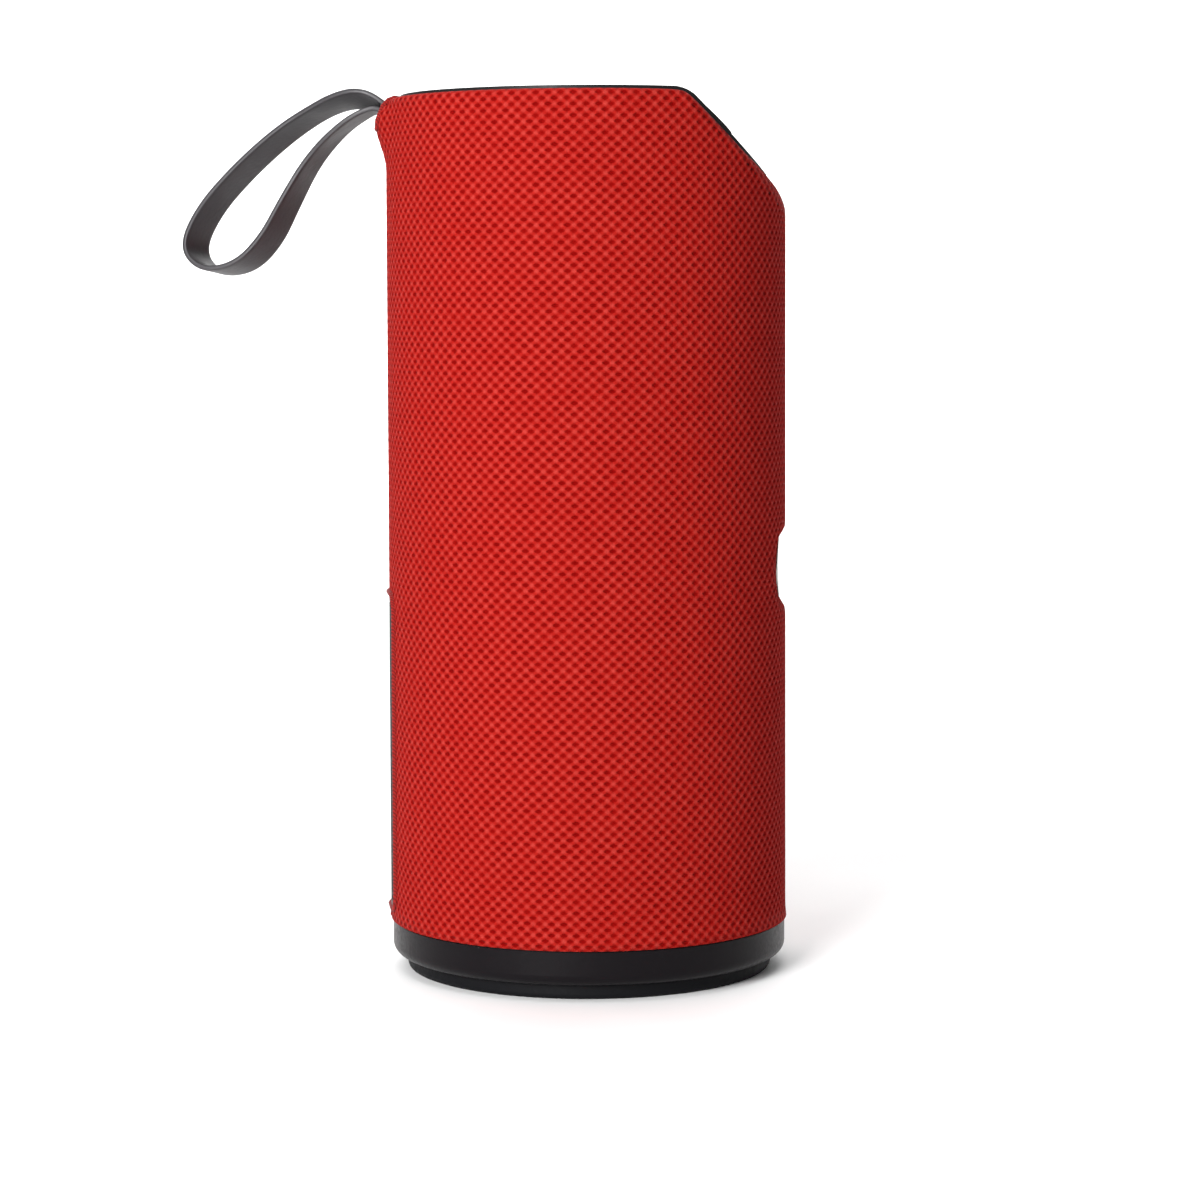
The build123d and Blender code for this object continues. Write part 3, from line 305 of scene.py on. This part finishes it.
def in_opening(y, z, half, low, high, corner):
    """Inside an upright rounded rectangle on the back."""
    aside = np.maximum(np.abs(y) - (half - corner), 0)
    beyond = np.maximum(np.maximum(z - (high - corner), (low + corner) - z), 0)
    return np.hypot(aside, beyond) < corner


def roll_height(angle, radius):
    """The rolled rim stands higher where the slope ends at the front."""
    return ROLL_HEIGHT + ROLL_FRONT * front_share(angle, radius)


def front_share(angle, radius):
    """1 at the very front, fading to 0 round the sides."""
    return smoothstep(FRONT_START * radius, FRONT_FULL * radius, radius * np.cos(angle))


def sleeve_wall(low, top, radius):
    """Vertices and faces of the sleeve up to its rim."""
    columns = KNIT_COLUMNS * COLUMN_STEPS
    angles = np.arange(columns) * 2 * pi / columns
    first = int(np.ceil(low / KNIT_ROW)) + 1
    last = int(np.floor(top / KNIT_ROW)) + 1
    rows = np.concatenate(([low, low + HEM_LIP], np.arange(first, last + 1) * KNIT_ROW))
    angle, height = np.meshgrid(angles, rows)
    limit = rim_height(radius * np.cos(angle), top) - roll_height(angle, radius)
    z = np.minimum(height, limit)
    r = sleeve_shape(angle, z, low, radius) - knit_relief(angle, z, low, top, radius)
    r[0] = radius - HEM_TUCK
    vertices = np.stack([r * np.cos(angle), r * np.sin(angle), z], axis=-1).reshape(-1, 3)
    faces = grid_faces(len(rows), columns, True)
    clamped = (height >= limit).ravel()
    x, y, z = vertices[faces].mean(axis=1).T
    bay_low, bay_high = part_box("port_bezel")
    slot = in_opening(y, z, SLOT_HALF_WIDTH, SLOT_LOW, top + SLOT_CORNER, SLOT_CORNER)
    bay = in_opening(y, z, bay_high.y, bay_low.z, bay_high.z, BAY_CORNER)
    gone = clamped[faces].all(axis=1) | ((x < 0) & (slot | bay))
    return vertices, faces[~gone]


def roll_point(angle, turn, top, radius):
    """Radius and height on the rolled rim, from the wall (turn 0) over the top to the cap (turn pi)."""
    cap_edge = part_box("top_cap")[1].x + CAP_GAP
    inner = np.minimum(radius - ROLL_WIDTH, cap_edge / np.maximum(np.cos(angle), LEAST_FORWARD))
    r = (radius + inner) / 2 + (radius - inner) / 2 * cos(turn)
    proud = ROLL_PROUD * front_share(angle, radius)
    crest = rim_height(r * np.cos(angle), top) + proud
    drop = roll_height(angle, radius) + proud if turn < pi / 2 else ROLL_TUCK
    return r, crest - drop * (1 - sin(turn) ** ROLL_FULLNESS)


def rim_roll(top, radius, start):
    """The rolled edge that folds over the shell's rim beside the cap."""
    columns = KNIT_COLUMNS * COLUMN_STEPS
    angles = np.arange(columns) * 2 * pi / columns
    rings = []
    for turn in np.linspace(0, pi, ROLL_STEPS + 1):
        r, z = roll_point(angles, turn, top, radius)
        rings.append(np.stack([r * np.cos(angles), r * np.sin(angles), z], axis=-1))
    vertices = np.concatenate(rings)
    faces = grid_faces(ROLL_STEPS + 1, columns, True)
    x, y, _ = vertices[faces].mean(axis=1).T
    gone = (x < 0) & (np.abs(y) < SLOT_HALF_WIDTH)
    return vertices, faces[~gone] + start


def fabric_sleeve():
    box_low, box_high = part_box("fabric_sleeve")
    radius, low, top = box_high.y - KNIT_TIGHTNESS, box_low.z, box_high.z
    vertices, faces = sleeve_wall(low, top, radius)
    roll_vertices, roll_faces = rim_roll(top, radius, len(vertices))
    all_vertices = np.concatenate([vertices, roll_vertices])
    all_faces = np.concatenate([faces, roll_faces])
    sleeve = add_mesh("sleeve", all_vertices, all_faces, knit_material())
    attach(sleeve, "housing")
    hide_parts("fabric_sleeve")
    piping = [slot_piping(low, top, radius), bay_piping(low, radius)]
    return sleeve


def on_cloth(across, z, low, radius):
    """A point on the cloth at the back."""
    angle = pi - across / radius
    r = float(sleeve_shape(angle, z, low, radius))
    return Vector((r * cos(angle), r * sin(angle), z))


def bound_edge(name, path, closed):
    """A round bound edge along a cut in the cloth."""
    ring = [2 * pi * i / PIPING_SIDES for i in range(PIPING_SIDES)]
    sections = []
    for i, point in enumerate(path):
        before = path[i - 1] if closed or i else point
        after = path[(i + 1) % len(path)] if closed or i + 1 < len(path) else point
        travel = (after - before).normalized()
        outward = Vector((point.x, point.y, 0))
        outward = (outward - travel * outward.dot(travel)).normalized()
        side = travel.cross(outward)
        sections.append([point + PIPING_RADIUS * (outward * cos(a) + side * sin(a)) for a in ring])
    piece = sweep(name, path, sections, binding_material(), closed)
    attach(piece, "housing")
    return piece


def corner_points(centre_across, centre_z, size, start, steps):
    """A quarter turn round a corner's centre."""
    turns = [start + pi / 2 * i / steps for i in range(steps + 1)]
    return [(centre_across + size * cos(turn), centre_z + size * sin(turn)) for turn in turns]


def slot_piping(low, top, radius):
    """Binding down one side of the strap's slot, along its lip and up the other side, over the rolled rim."""
    half, corner = SLOT_HALF_WIDTH, SLOT_CORNER
    side_top = top - ROLL_HEIGHT
    outline = [(-half, side_top)]
    outline += corner_points(-half + corner, SLOT_LOW + corner, corner, pi, SLOT_CORNER_STEPS)
    outline += corner_points(half - corner, SLOT_LOW + corner, corner, 1.5 * pi, SLOT_CORNER_STEPS)
    outline.append((half, side_top))
    path = [on_cloth(across, z, low, radius) for across, z in outline]
    over = []
    for turn in PIPING_OVER_ROLL:
        r, z = roll_point(pi - half / radius, turn, top, radius)
        over.append(Vector((-sqrt(r * r - half * half), half, float(z))))
    mirrored = [Vector((point.x, -point.y, point.z)) for point in reversed(over)]
    return bound_edge("slot_binding", [*mirrored, *path, *over], False)


def bay_piping(low, radius):
    """Binding round the port bay's rounded opening."""
    bay_low, bay_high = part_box("port_bezel")
    half, corner = bay_high.y, BAY_CORNER
    side, upper, lower = half - corner, bay_high.z - corner, bay_low.z + corner
    outline = corner_points(side, upper, corner, 0, BAY_CORNER_STEPS)
    outline.append((0, bay_high.z))
    outline += corner_points(-side, upper, corner, pi / 2, BAY_CORNER_STEPS)
    outline += corner_points(-side, lower, corner, pi, BAY_CORNER_STEPS)
    outline.append((0, bay_low.z))
    outline += corner_points(side, lower, corner, 1.5 * pi, BAY_CORNER_STEPS)
    return bound_edge("bay_binding", [on_cloth(across, z, low, radius) for across, z in outline], True)


# ---------------------------------------------------------------- strap


def strap_path():
    """Points read from the route's own smooth spline."""
    curve = bpy.data.curves.new("strap_route", "CURVE")
    curve.dimensions = "3D"
    spline = curve.splines.new("NURBS")
    spline.points.add(len(STRAP_ROUTE) - 1)
    for point, place in zip(spline.points, STRAP_ROUTE):
        point.co = (*place, 1)
    spline.order_u = 3
    spline.use_endpoint_u = True
    spline.resolution_u = STRAP_ROUTE_STEPS
    holder = bpy.data.objects.new("strap_route", curve)
    bpy.context.scene.collection.objects.link(holder)
    bpy.context.view_layer.update()
    evaluated = holder.evaluated_get(bpy.context.evaluated_depsgraph_get())
    line = bpy.data.meshes.new_from_object(evaluated)
    points = [vertex.co.copy() for vertex in line.vertices]
    bpy.data.objects.remove(holder)
    return points


def signed_power(value, power):
    return (1 if value > 0 else -1) * abs(value) ** power


def band_section(point, travel, width):
    """A flat section with rounded edges: a squashed circle whose sides are nearly straight."""
    across = (width - travel * width.dot(travel)).normalized()
    out = travel.cross(across).normalized()
    ring = []
    for i in range(STRAP_SECTION_STEPS):
        turn = 2 * pi * i / STRAP_SECTION_STEPS
        wide = STRAP_WIDTH / 2 * signed_power(cos(turn), STRAP_EDGE_ROUNDING)
        thick = STRAP_THICKNESS / 2 * signed_power(sin(turn), 2 * STRAP_EDGE_ROUNDING)
        ring.append(point + across * wide + out * thick)
    return ring


def travel_at(path, i):
    return (path[min(i + 1, len(path) - 1)] - path[max(i - 1, 0)]).normalized()


def strap_across(run, length):
    """Direction across the band: level at both roots, and leaning most at the loop's far end."""
    out = float(smoothstep(0, STRAP_UPPER_TWIST, run))
    back = float(smoothstep(0, STRAP_LOWER_TWIST, length - run))
    upper = STRAP_UPPER_TILT * (1 - out) + STRAP_FAR_TILT * out
    tilt = upper * back + STRAP_LOWER_TILT * (1 - back)
    share = float(smoothstep(0, STRAP_ROOT_TURN, min(run, length - run)))
    return tilt.normalized() * share + Vector((0, -1, 0)) * (1 - share)


def strap_sections(path):
    """A flat section carried along the path and turned as it goes."""
    runs = [0.0]
    for before, after in zip(path, path[1:]):
        runs.append(runs[-1] + (after - before).length)
    length = runs[-1]
    sections = [
        band_section(point, travel_at(path, i), strap_across(runs[i], length)) for i, point in enumerate(path)
    ]
    return sections, length


def strap():
    path = strap_path()
    sections, length = strap_sections(path)
    material = strap_material()
    band = sweep("strap_band", path, sections, material)
    eye = strap_eye(material)
    for piece in (band, eye):
        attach(piece, "strap_body")
    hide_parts("strap_loop")
    return band


def strap_eye(material):
    """The short stretch inside the slot that goes round the steel pin."""
    low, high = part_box("strap_pin")
    centre = (low + high) / 2
    wrap = (high.z - low.z) / 2 + EYE_CLEARANCE + STRAP_THICKNESS / 2
    first, last = Vector(STRAP_ROUTE[0]), Vector(STRAP_ROUTE[-1])
    path = [first + EYE_OVERLAP]
    for i in range(EYE_STEPS + 1):
        turn = pi / 2 - pi * i / EYE_STEPS
        path.append(Vector((centre.x + wrap * cos(turn), 0, centre.z + wrap * sin(turn))))
    path.append(last + EYE_OVERLAP)
    level = Vector((0, -1, 0))
    sections = [band_section(point, travel_at(path, i), level) for i, point in enumerate(path)]
    return sweep("strap_eye", path, sections, material)


# ---------------------------------------------------------------- key icons


def prism(outline, lift):
    """A low printed shape: an outline in (across, up) and the same outline raised by lift."""
    count = len(outline)
    vertices = [(u, v, 0.0) for u, v in outline] + [(u, v, lift) for u, v in outline]
    faces = [tuple(reversed(range(count))), tuple(range(count, 2 * count))]
    faces += [(i, (i + 1) % count, count + (i + 1) % count, count + i) for i in range(count)]
    return vertices, faces


def triangle(middle, size, facing):
    """An arrowhead pointing left or right."""
    base, tip = middle - facing * size / 2, middle + facing * size / 2
    half = ICON_ARROW_HALF_HEIGHT * size
    return [(base, -half), (tip, 0), (base, half)][::facing]


def bar(middle, half_height=ICON_BAR_HALF_HEIGHT):
    left, right = middle - ICON_STROKE / 2, middle + ICON_STROKE / 2
    return [(left, -half_height), (right, -half_height), (right, half_height), (left, half_height)]


def ring_arc():
    """An open ring, drawn as one outline out and back."""
    step = (360 - ICON_RING_OPEN_DEGREES) / ICON_RING_STEPS
    turns = [radians(ICON_RING_OPEN_DEGREES + step * i) for i in range(ICON_RING_STEPS + 1)]
    outer = [(ICON_RING_RADIUS * cos(turn), ICON_RING_RADIUS * sin(turn)) for turn in turns]
    inside = ICON_RING_RADIUS - ICON_STROKE
    return outer + [(inside * cos(turn), inside * sin(turn)) for turn in reversed(turns)]


def icon_shapes():
    """Each key's outlines, placed across the key in icon sizes."""
    size = ICON_SIZE
    return {
        "mode": [ring_arc(), bar(0, ICON_RING_MARK)],
        "prev": [triangle(-0.4 * size, size, -1), triangle(0.5 * size, size, -1), bar(-1.1 * size)],
        "play": [triangle(-0.5 * size, size, 1), bar(0.45 * size), bar(0.95 * size)],
        "next": [triangle(-0.5 * size, size, 1), triangle(0.4 * size, size, 1), bar(1.1 * size)],
    }


def key_icons(frame):
    """Every key's icon, on the 45 degree control face."""
    pale = (0.62, 0.62, 0.60)
    material = surface_material("icon_print", colour=pale, roughness=0.55, grain=900, depth=0.02)
    slant = 1 / sqrt(2)
    tilt = Matrix(((0, -slant, slant), (1, 0, 0), (0, slant, slant))).to_4x4()
    for name, outlines in icon_shapes().items():
        vertices, faces = [], []
        for outline in outlines:
            shape_vertices, shape_faces = prism(outline, 2 * ICON_RELIEF)
            faces += [tuple(len(vertices) + i for i in face) for face in shape_faces]
            vertices += shape_vertices
        place = Matrix.Translation(key_top(frame, name)) @ tilt
        icon = add_mesh(f"icon_{name}", [place @ Vector(v) for v in vertices], faces, material, smooth=False)
        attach(icon, f"key_{name}_body")


def key_top(frame, name):
    """The middle of a key's top face, a hair below it so that the print starts inside."""
    mesh = frame["nodes"][f"key_{name}"].data
    normal = Vector((1, 0, 1)).normalized()
    heights = [vertex.co.dot(normal) for vertex in mesh.vertices]
    highest = max(heights)
    top = [vertex.co for vertex, height in zip(mesh.vertices, heights) if height > highest - FACE_FLATNESS]
    middle = sum(top, Vector()) / len(top)
    box_low, box_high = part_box(f"key_{name}")
    middle.y = (box_low.y + box_high.y) / 2
    return middle - normal * ICON_RELIEF


# ---------------------------------------------------------------- materials


class Nodes:
    """Short names for building a material's node tree."""

    def __init__(self, name):
        self.material = bpy.data.materials.new(name)
        self.material.use_nodes = True
        self.tree = self.material.node_tree
        self.shader = self.tree.nodes["Principled BSDF"]

    def add(self, kind, **settings):
        node = self.tree.nodes.new(kind)
        for key, value in settings.items():
            setattr(node, key, value)
        return node

    def link(self, source, target):
        self.tree.links.new(source, target)

    def put(self, value, socket):
        if isinstance(value, bpy.types.NodeSocket):
            self.link(value, socket)
        else:
            socket.default_value = value

    def math(self, operation, first, second=0.0, third=0.0):
        node = self.add("ShaderNodeMath", operation=operation)
        for value, socket in zip((first, second, third), node.inputs):
            self.put(value, socket)
        return node.outputs[0]

    def position(self):
        return self.add("ShaderNodeTexCoord").outputs["Object"]

    def noise(self, scale, detail=3.0, stretch=None):
        node = self.add("ShaderNodeTexNoise")
        node.inputs["Scale"].default_value = scale
        node.inputs["Detail"].default_value = detail
        place = self.position()
        if stretch:
            mapping = self.add("ShaderNodeMapping")
            mapping.inputs["Scale"].default_value = stretch
            self.link(place, mapping.inputs["Vector"])
            place = mapping.outputs["Vector"]
        self.link(place, node.inputs["Vector"])
        return node.outputs["Fac"]

    def blend(self, share, first, second):
        """A colour between two, by a share."""
        node = self.add("ShaderNodeMix", data_type="RGBA")
        self.put(share, node.inputs[0])
        self.put(first, node.inputs[6])
        self.put(second, node.inputs[7])
        return node.outputs[2]

    def rescale(self, value, low, high, to_low=0.0, to_high=1.0):
        node = self.add("ShaderNodeMapRange", interpolation_type="SMOOTHSTEP")
        for number, socket in zip((low, high, to_low, to_high), node.inputs[1:5]):
            socket.default_value = number
        self.link(value, node.inputs[0])
        return node.outputs[0]

    def bump(self, height, distance, strength=1.0):
        node = self.add("ShaderNodeBump")
        node.inputs["Distance"].default_value = distance
        node.inputs["Strength"].default_value = strength
        self.link(height, node.inputs["Height"])
        self.link(node.outputs["Normal"], self.shader.inputs["Normal"])

    def set(self, **values):
        for key, value in values.items():
            self.put(value, self.shader.inputs[key.replace("_", " ")])


def opaque(colour, factor=1.0):
    return tuple(channel * factor for channel in colour) + (1.0,)


def surface_material(
    name, colour, roughness, grain, depth, metallic=0.0, variation=0.15, stretch=None, shine=0.5
):
    """Moulded, painted or rolled surface: fine grain in colour, roughness and bump."""
    n = Nodes(name)
    fine = n.noise(grain, 4.0, stretch)
    broad = n.noise(grain / 25, 2.0)
    mixed = n.math("MULTIPLY", n.math("ADD", fine, broad), 0.5)
    patched = n.blend(mixed, opaque(colour, 1 - variation), opaque(colour, 1 + variation))
    uneven = n.rescale(fine, 0.3, 0.7, roughness - 0.06, roughness + 0.06)
    n.set(Base_Color=patched, Roughness=uneven, Metallic=metallic, Specular_IOR_Level=shine)
    n.bump(fine, depth * MM, 0.6)
    return n.material


def knit_grid(n):
    """Columns round the body and pairs of rows up it, as the mesh counts them."""
    split = n.add("ShaderNodeSeparateXYZ")
    n.link(n.position(), split.inputs[0])
    x, y, z = split.outputs
    across = n.math("MULTIPLY", n.math("ARCTAN2", y, x), KNIT_COLUMNS / (2 * pi))
    return across, n.math("DIVIDE", z, 2 * KNIT_ROW)


def knit_share(n, across, up):
    """The painted-shade middles of the knit's holes, half as tall as the mesh's: 1 in the middle, negative
    outside.
    """
    shares = []
    for offset in (0.0, 0.5):
        dx = n.math("WRAP", n.math("ADD", across, offset), 0.5, -0.5)
        dz = n.math("WRAP", n.math("ADD", up, offset), 0.5, -0.5)
        wide = n.math("POWER", n.math("ABSOLUTE", n.math("DIVIDE", dx, HOLE_HALF_WIDTH)), 2.0)
        tall = n.math("POWER", n.math("ABSOLUTE", n.math("DIVIDE", dz, HOLE_SHADE_HALF_HEIGHT)), 2.0)
        shares.append(n.math("SUBTRACT", 1.0, n.math("ADD", wide, tall)))
    return n.math("MAXIMUM", *shares)


def knit_strands(n, across, up):
    """The threads between the holes, 1 along a thread's middle and 0 beside it, and where two cross. The
    first sets the bump and the painted shade beside the threads, the second the painted highlight where they
    cross.
    """
    strands = []
    for sum_or_difference in ("ADD", "SUBTRACT"):
        place = n.math(sum_or_difference, across, up)
        from_middle = n.math("ABSOLUTE", n.math("WRAP", n.math("ADD", place, 0.5), 0.5, -0.5))
        strands.append(n.rescale(from_middle, 0.05, 0.42, 1.0, 0.0))
    return n.math("MAXIMUM", *strands), n.math("MULTIPLY", *strands)


def knit_material():
    """Red warp-knit: painted highlights where the strands cross, painted shade in the holes and beside the
    threads, soft fibre sheen.
    """
    n = Nodes("knit_red")
    across, up = knit_grid(n)
    uneven = n.rescale(n.noise(420, 1.0), 0.38, 0.62, 0.45, 1.0)
    # hole: the holes' middles, painted with shade and sunk in the bump
    hole = n.math("MULTIPLY", n.rescale(knit_share(n, across, up), -0.9, 0.7), uneven)
    strand, crossing_highlight = knit_strands(n, across, up)
    fibre = n.noise(2600, 3.0, (1.0, 1.0, 2.5))
    patchy = n.noise(260, 2.0)
    # Painted shade: each thread darker beside its middle than along it
    thread = n.blend(strand, KNIT_PAINTED_SIDE_SHADE, KNIT_THREAD)
    # Painted highlight where two threads cross
    thread = n.blend(n.math("MULTIPLY", crossing_highlight, 0.8), thread, KNIT_PAINTED_CREST_HIGHLIGHT)
    thread = n.blend(n.rescale(fibre, 0.35, 0.75, 0.0, 0.35), thread, KNIT_FIBRE)
    thread = n.blend(n.rescale(patchy, 0.4, 0.7, 0.0, 0.25), thread, KNIT_PATCH)
    # Painted shade: the holes' middles go to a dark red
    n.set(Base_Color=n.blend(hole, thread, KNIT_PAINTED_HOLE_SHADE))
    n.set(Roughness=0.8, Sheen_Weight=0.01, Sheen_Roughness=0.5, Specular_IOR_Level=0.03)
    raised = n.math("ADD", strand, n.math("MULTIPLY", fibre, 0.3))
    height = n.math("SUBTRACT", raised, n.math("MULTIPLY", hole, 1.2))
    n.bump(height, 0.16 * MM, 0.7)
    return n.material


def binding_material():
    """Twisted red thread of the bound edges."""
    n = Nodes("binding_red")
    wave = n.add("ShaderNodeTexWave", wave_type="BANDS", bands_direction="DIAGONAL")
    wave.inputs["Scale"].default_value = 900
    wave.inputs["Distortion"].default_value = 1.5
    n.link(n.position(), wave.inputs["Vector"])
    twist = n.blend(wave.outputs["Fac"], (0.12, 0.002, 0.001, 1), (0.26, 0.007, 0.005, 1))
    n.set(Base_Color=twist, Roughness=0.8, Sheen_Weight=0.05, Specular_IOR_Level=0.2)
    n.bump(wave.outputs["Fac"], 0.12 * MM)
    return n.material


def strap_material():
    """Matt dark grey moulded band with a fine leather-like grain."""
    n = Nodes("strap_grey")
    cells = n.add("ShaderNodeTexVoronoi", feature="SMOOTH_F1")
    cells.inputs["Scale"].default_value = 1500
    n.link(n.position(), cells.inputs["Vector"])
    broad = n.noise(120, 3.0)
    patched = n.blend(broad, (0.020, 0.018, 0.021, 1), (0.034, 0.031, 0.035, 1))
    n.set(Base_Color=patched, Roughness=n.rescale(broad, 0.3, 0.7, 0.42, 0.56))
    n.bump(cells.outputs["Distance"], 0.05 * MM, 0.6)
    return n.material


def board_material():
    """Green solder mask with faint copper tracks beneath it."""
    n = Nodes("board_green")
    tracks = n.add("ShaderNodeTexBrick")
    tracks.inputs["Scale"].default_value = 160
    tracks.inputs["Mortar Size"].default_value = 0.04
    tracks.inputs["Color1"].default_value = (0.010, 0.075, 0.030, 1)
    tracks.inputs["Color2"].default_value = (0.012, 0.090, 0.036, 1)
    tracks.inputs["Mortar"].default_value = (0.030, 0.160, 0.060, 1)
    n.link(n.position(), tracks.inputs["Vector"])
    n.set(Base_Color=tracks.outputs["Color"], Roughness=0.35, Coat_Weight=0.4)
    n.bump(tracks.outputs["Fac"], 0.04 * MM)
    return n.material


def lens_material():
    """Milky clear light pipe."""
    material = surface_material("lens", colour=(0.75, 0.80, 0.85), roughness=0.25, grain=700, depth=0.01)
    material.node_tree.nodes["Principled BSDF"].inputs["Transmission Weight"].default_value = 0.6
    return material


def slot_materials():
    """One material for each of the record's slots that a carried-over node uses."""
    materials = {slot: surface_material(slot, **look) for slot, look in SURFACES.items()}
    materials["pcb_green"] = board_material()
    materials["lens_clear"] = lens_material()
    return materials


def dress_cad_nodes(frame):
    """Gives every carried-over CAD node its slot's material."""
    materials = slot_materials()
    for entry in frame["record"]["subparts"]:
        material = materials.get(entry["material_slot"])
        if material is None:
            continue
        mesh = frame["nodes"][entry["node"]].data
        mesh.materials.clear()
        mesh.materials.append(material)


# ---------------------------------------------------------------- studio


def camera():
    data = bpy.data.cameras.new("camera")
    data.lens = CAMERA_LENS
    data.sensor_width = CAMERA_SENSOR
    data.shift_x, data.shift_y = CAMERA_SHIFT
    holder = bpy.data.objects.new("camera", data)
    holder.location = (0, -CAMERA_DISTANCE, CAMERA_HEIGHT)
    holder.rotation_euler = (pi / 2 - CAMERA_TILT, CAMERA_ROLL, 0)
    bpy.context.scene.collection.objects.link(holder)
    bpy.context.scene.camera = holder


def area_light(name, place, target, size, power):
    data = bpy.data.lights.new(name, "AREA")
    data.shape = "RECTANGLE"
    data.size, data.size_y = size
    data.energy = power
    light = bpy.data.objects.new(name, data)
    light.location = place
    light.rotation_euler = (Vector(target) - Vector(place)).to_track_quat("-Z", "Y").to_euler()
    bpy.context.scene.collection.objects.link(light)


def studio():
    """Plain pale floor, soft lights and a weak even light from all round."""
    for name, settings in LIGHTS.items():
        area_light(name, **settings)
    world = bpy.data.worlds.new("studio")
    world.use_nodes = True
    background = world.node_tree.nodes["Background"]
    background.inputs["Color"].default_value = (1, 1, 1, 1)
    background.inputs["Strength"].default_value = WORLD_LIGHT
    bpy.context.scene.world = world
    bpy.context.scene.view_settings.view_transform = "Standard"
    floor = floor_plane()


def floor_plane():
    """A wide floor that curves up into a backdrop far behind."""
    pale = (0.93, 0.93, 0.93)
    material = surface_material("floor", colour=pale, roughness=0.7, grain=40, depth=0.05, variation=0.01)
    size = FLOOR_CURVE_RADIUS
    profile = [(FLOOR_FRONT_Y, 0.0), (FLOOR_CURVE_Y, 0.0)]
    for i in range(1, FLOOR_CURVE_STEPS + 1):
        turn = pi / 2 * i / FLOOR_CURVE_STEPS
        profile.append((FLOOR_CURVE_Y + size * sin(turn), size * (1 - cos(turn))))
    profile.append((FLOOR_CURVE_Y + size, BACKDROP_HEIGHT))
    vertices = [(x, y, z) for y, z in profile for x in (-FLOOR_HALF_WIDTH, FLOOR_HALF_WIDTH)]
    faces = [(2 * i, 2 * i + 1, 2 * i + 3, 2 * i + 2) for i in range(len(profile) - 1)]
    return add_mesh("floor", vertices, faces, material)


with open("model.json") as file:
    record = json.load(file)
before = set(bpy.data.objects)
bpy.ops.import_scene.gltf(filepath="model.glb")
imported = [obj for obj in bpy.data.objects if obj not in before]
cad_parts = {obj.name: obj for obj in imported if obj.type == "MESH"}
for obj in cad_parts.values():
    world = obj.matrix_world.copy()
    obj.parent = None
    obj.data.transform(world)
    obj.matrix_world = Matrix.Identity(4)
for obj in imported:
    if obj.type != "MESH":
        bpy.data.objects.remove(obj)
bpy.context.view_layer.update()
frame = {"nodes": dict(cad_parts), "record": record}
camera()
strap()
fabric_sleeve()
key_icons(frame)
dress_cad_nodes(frame)
studio()
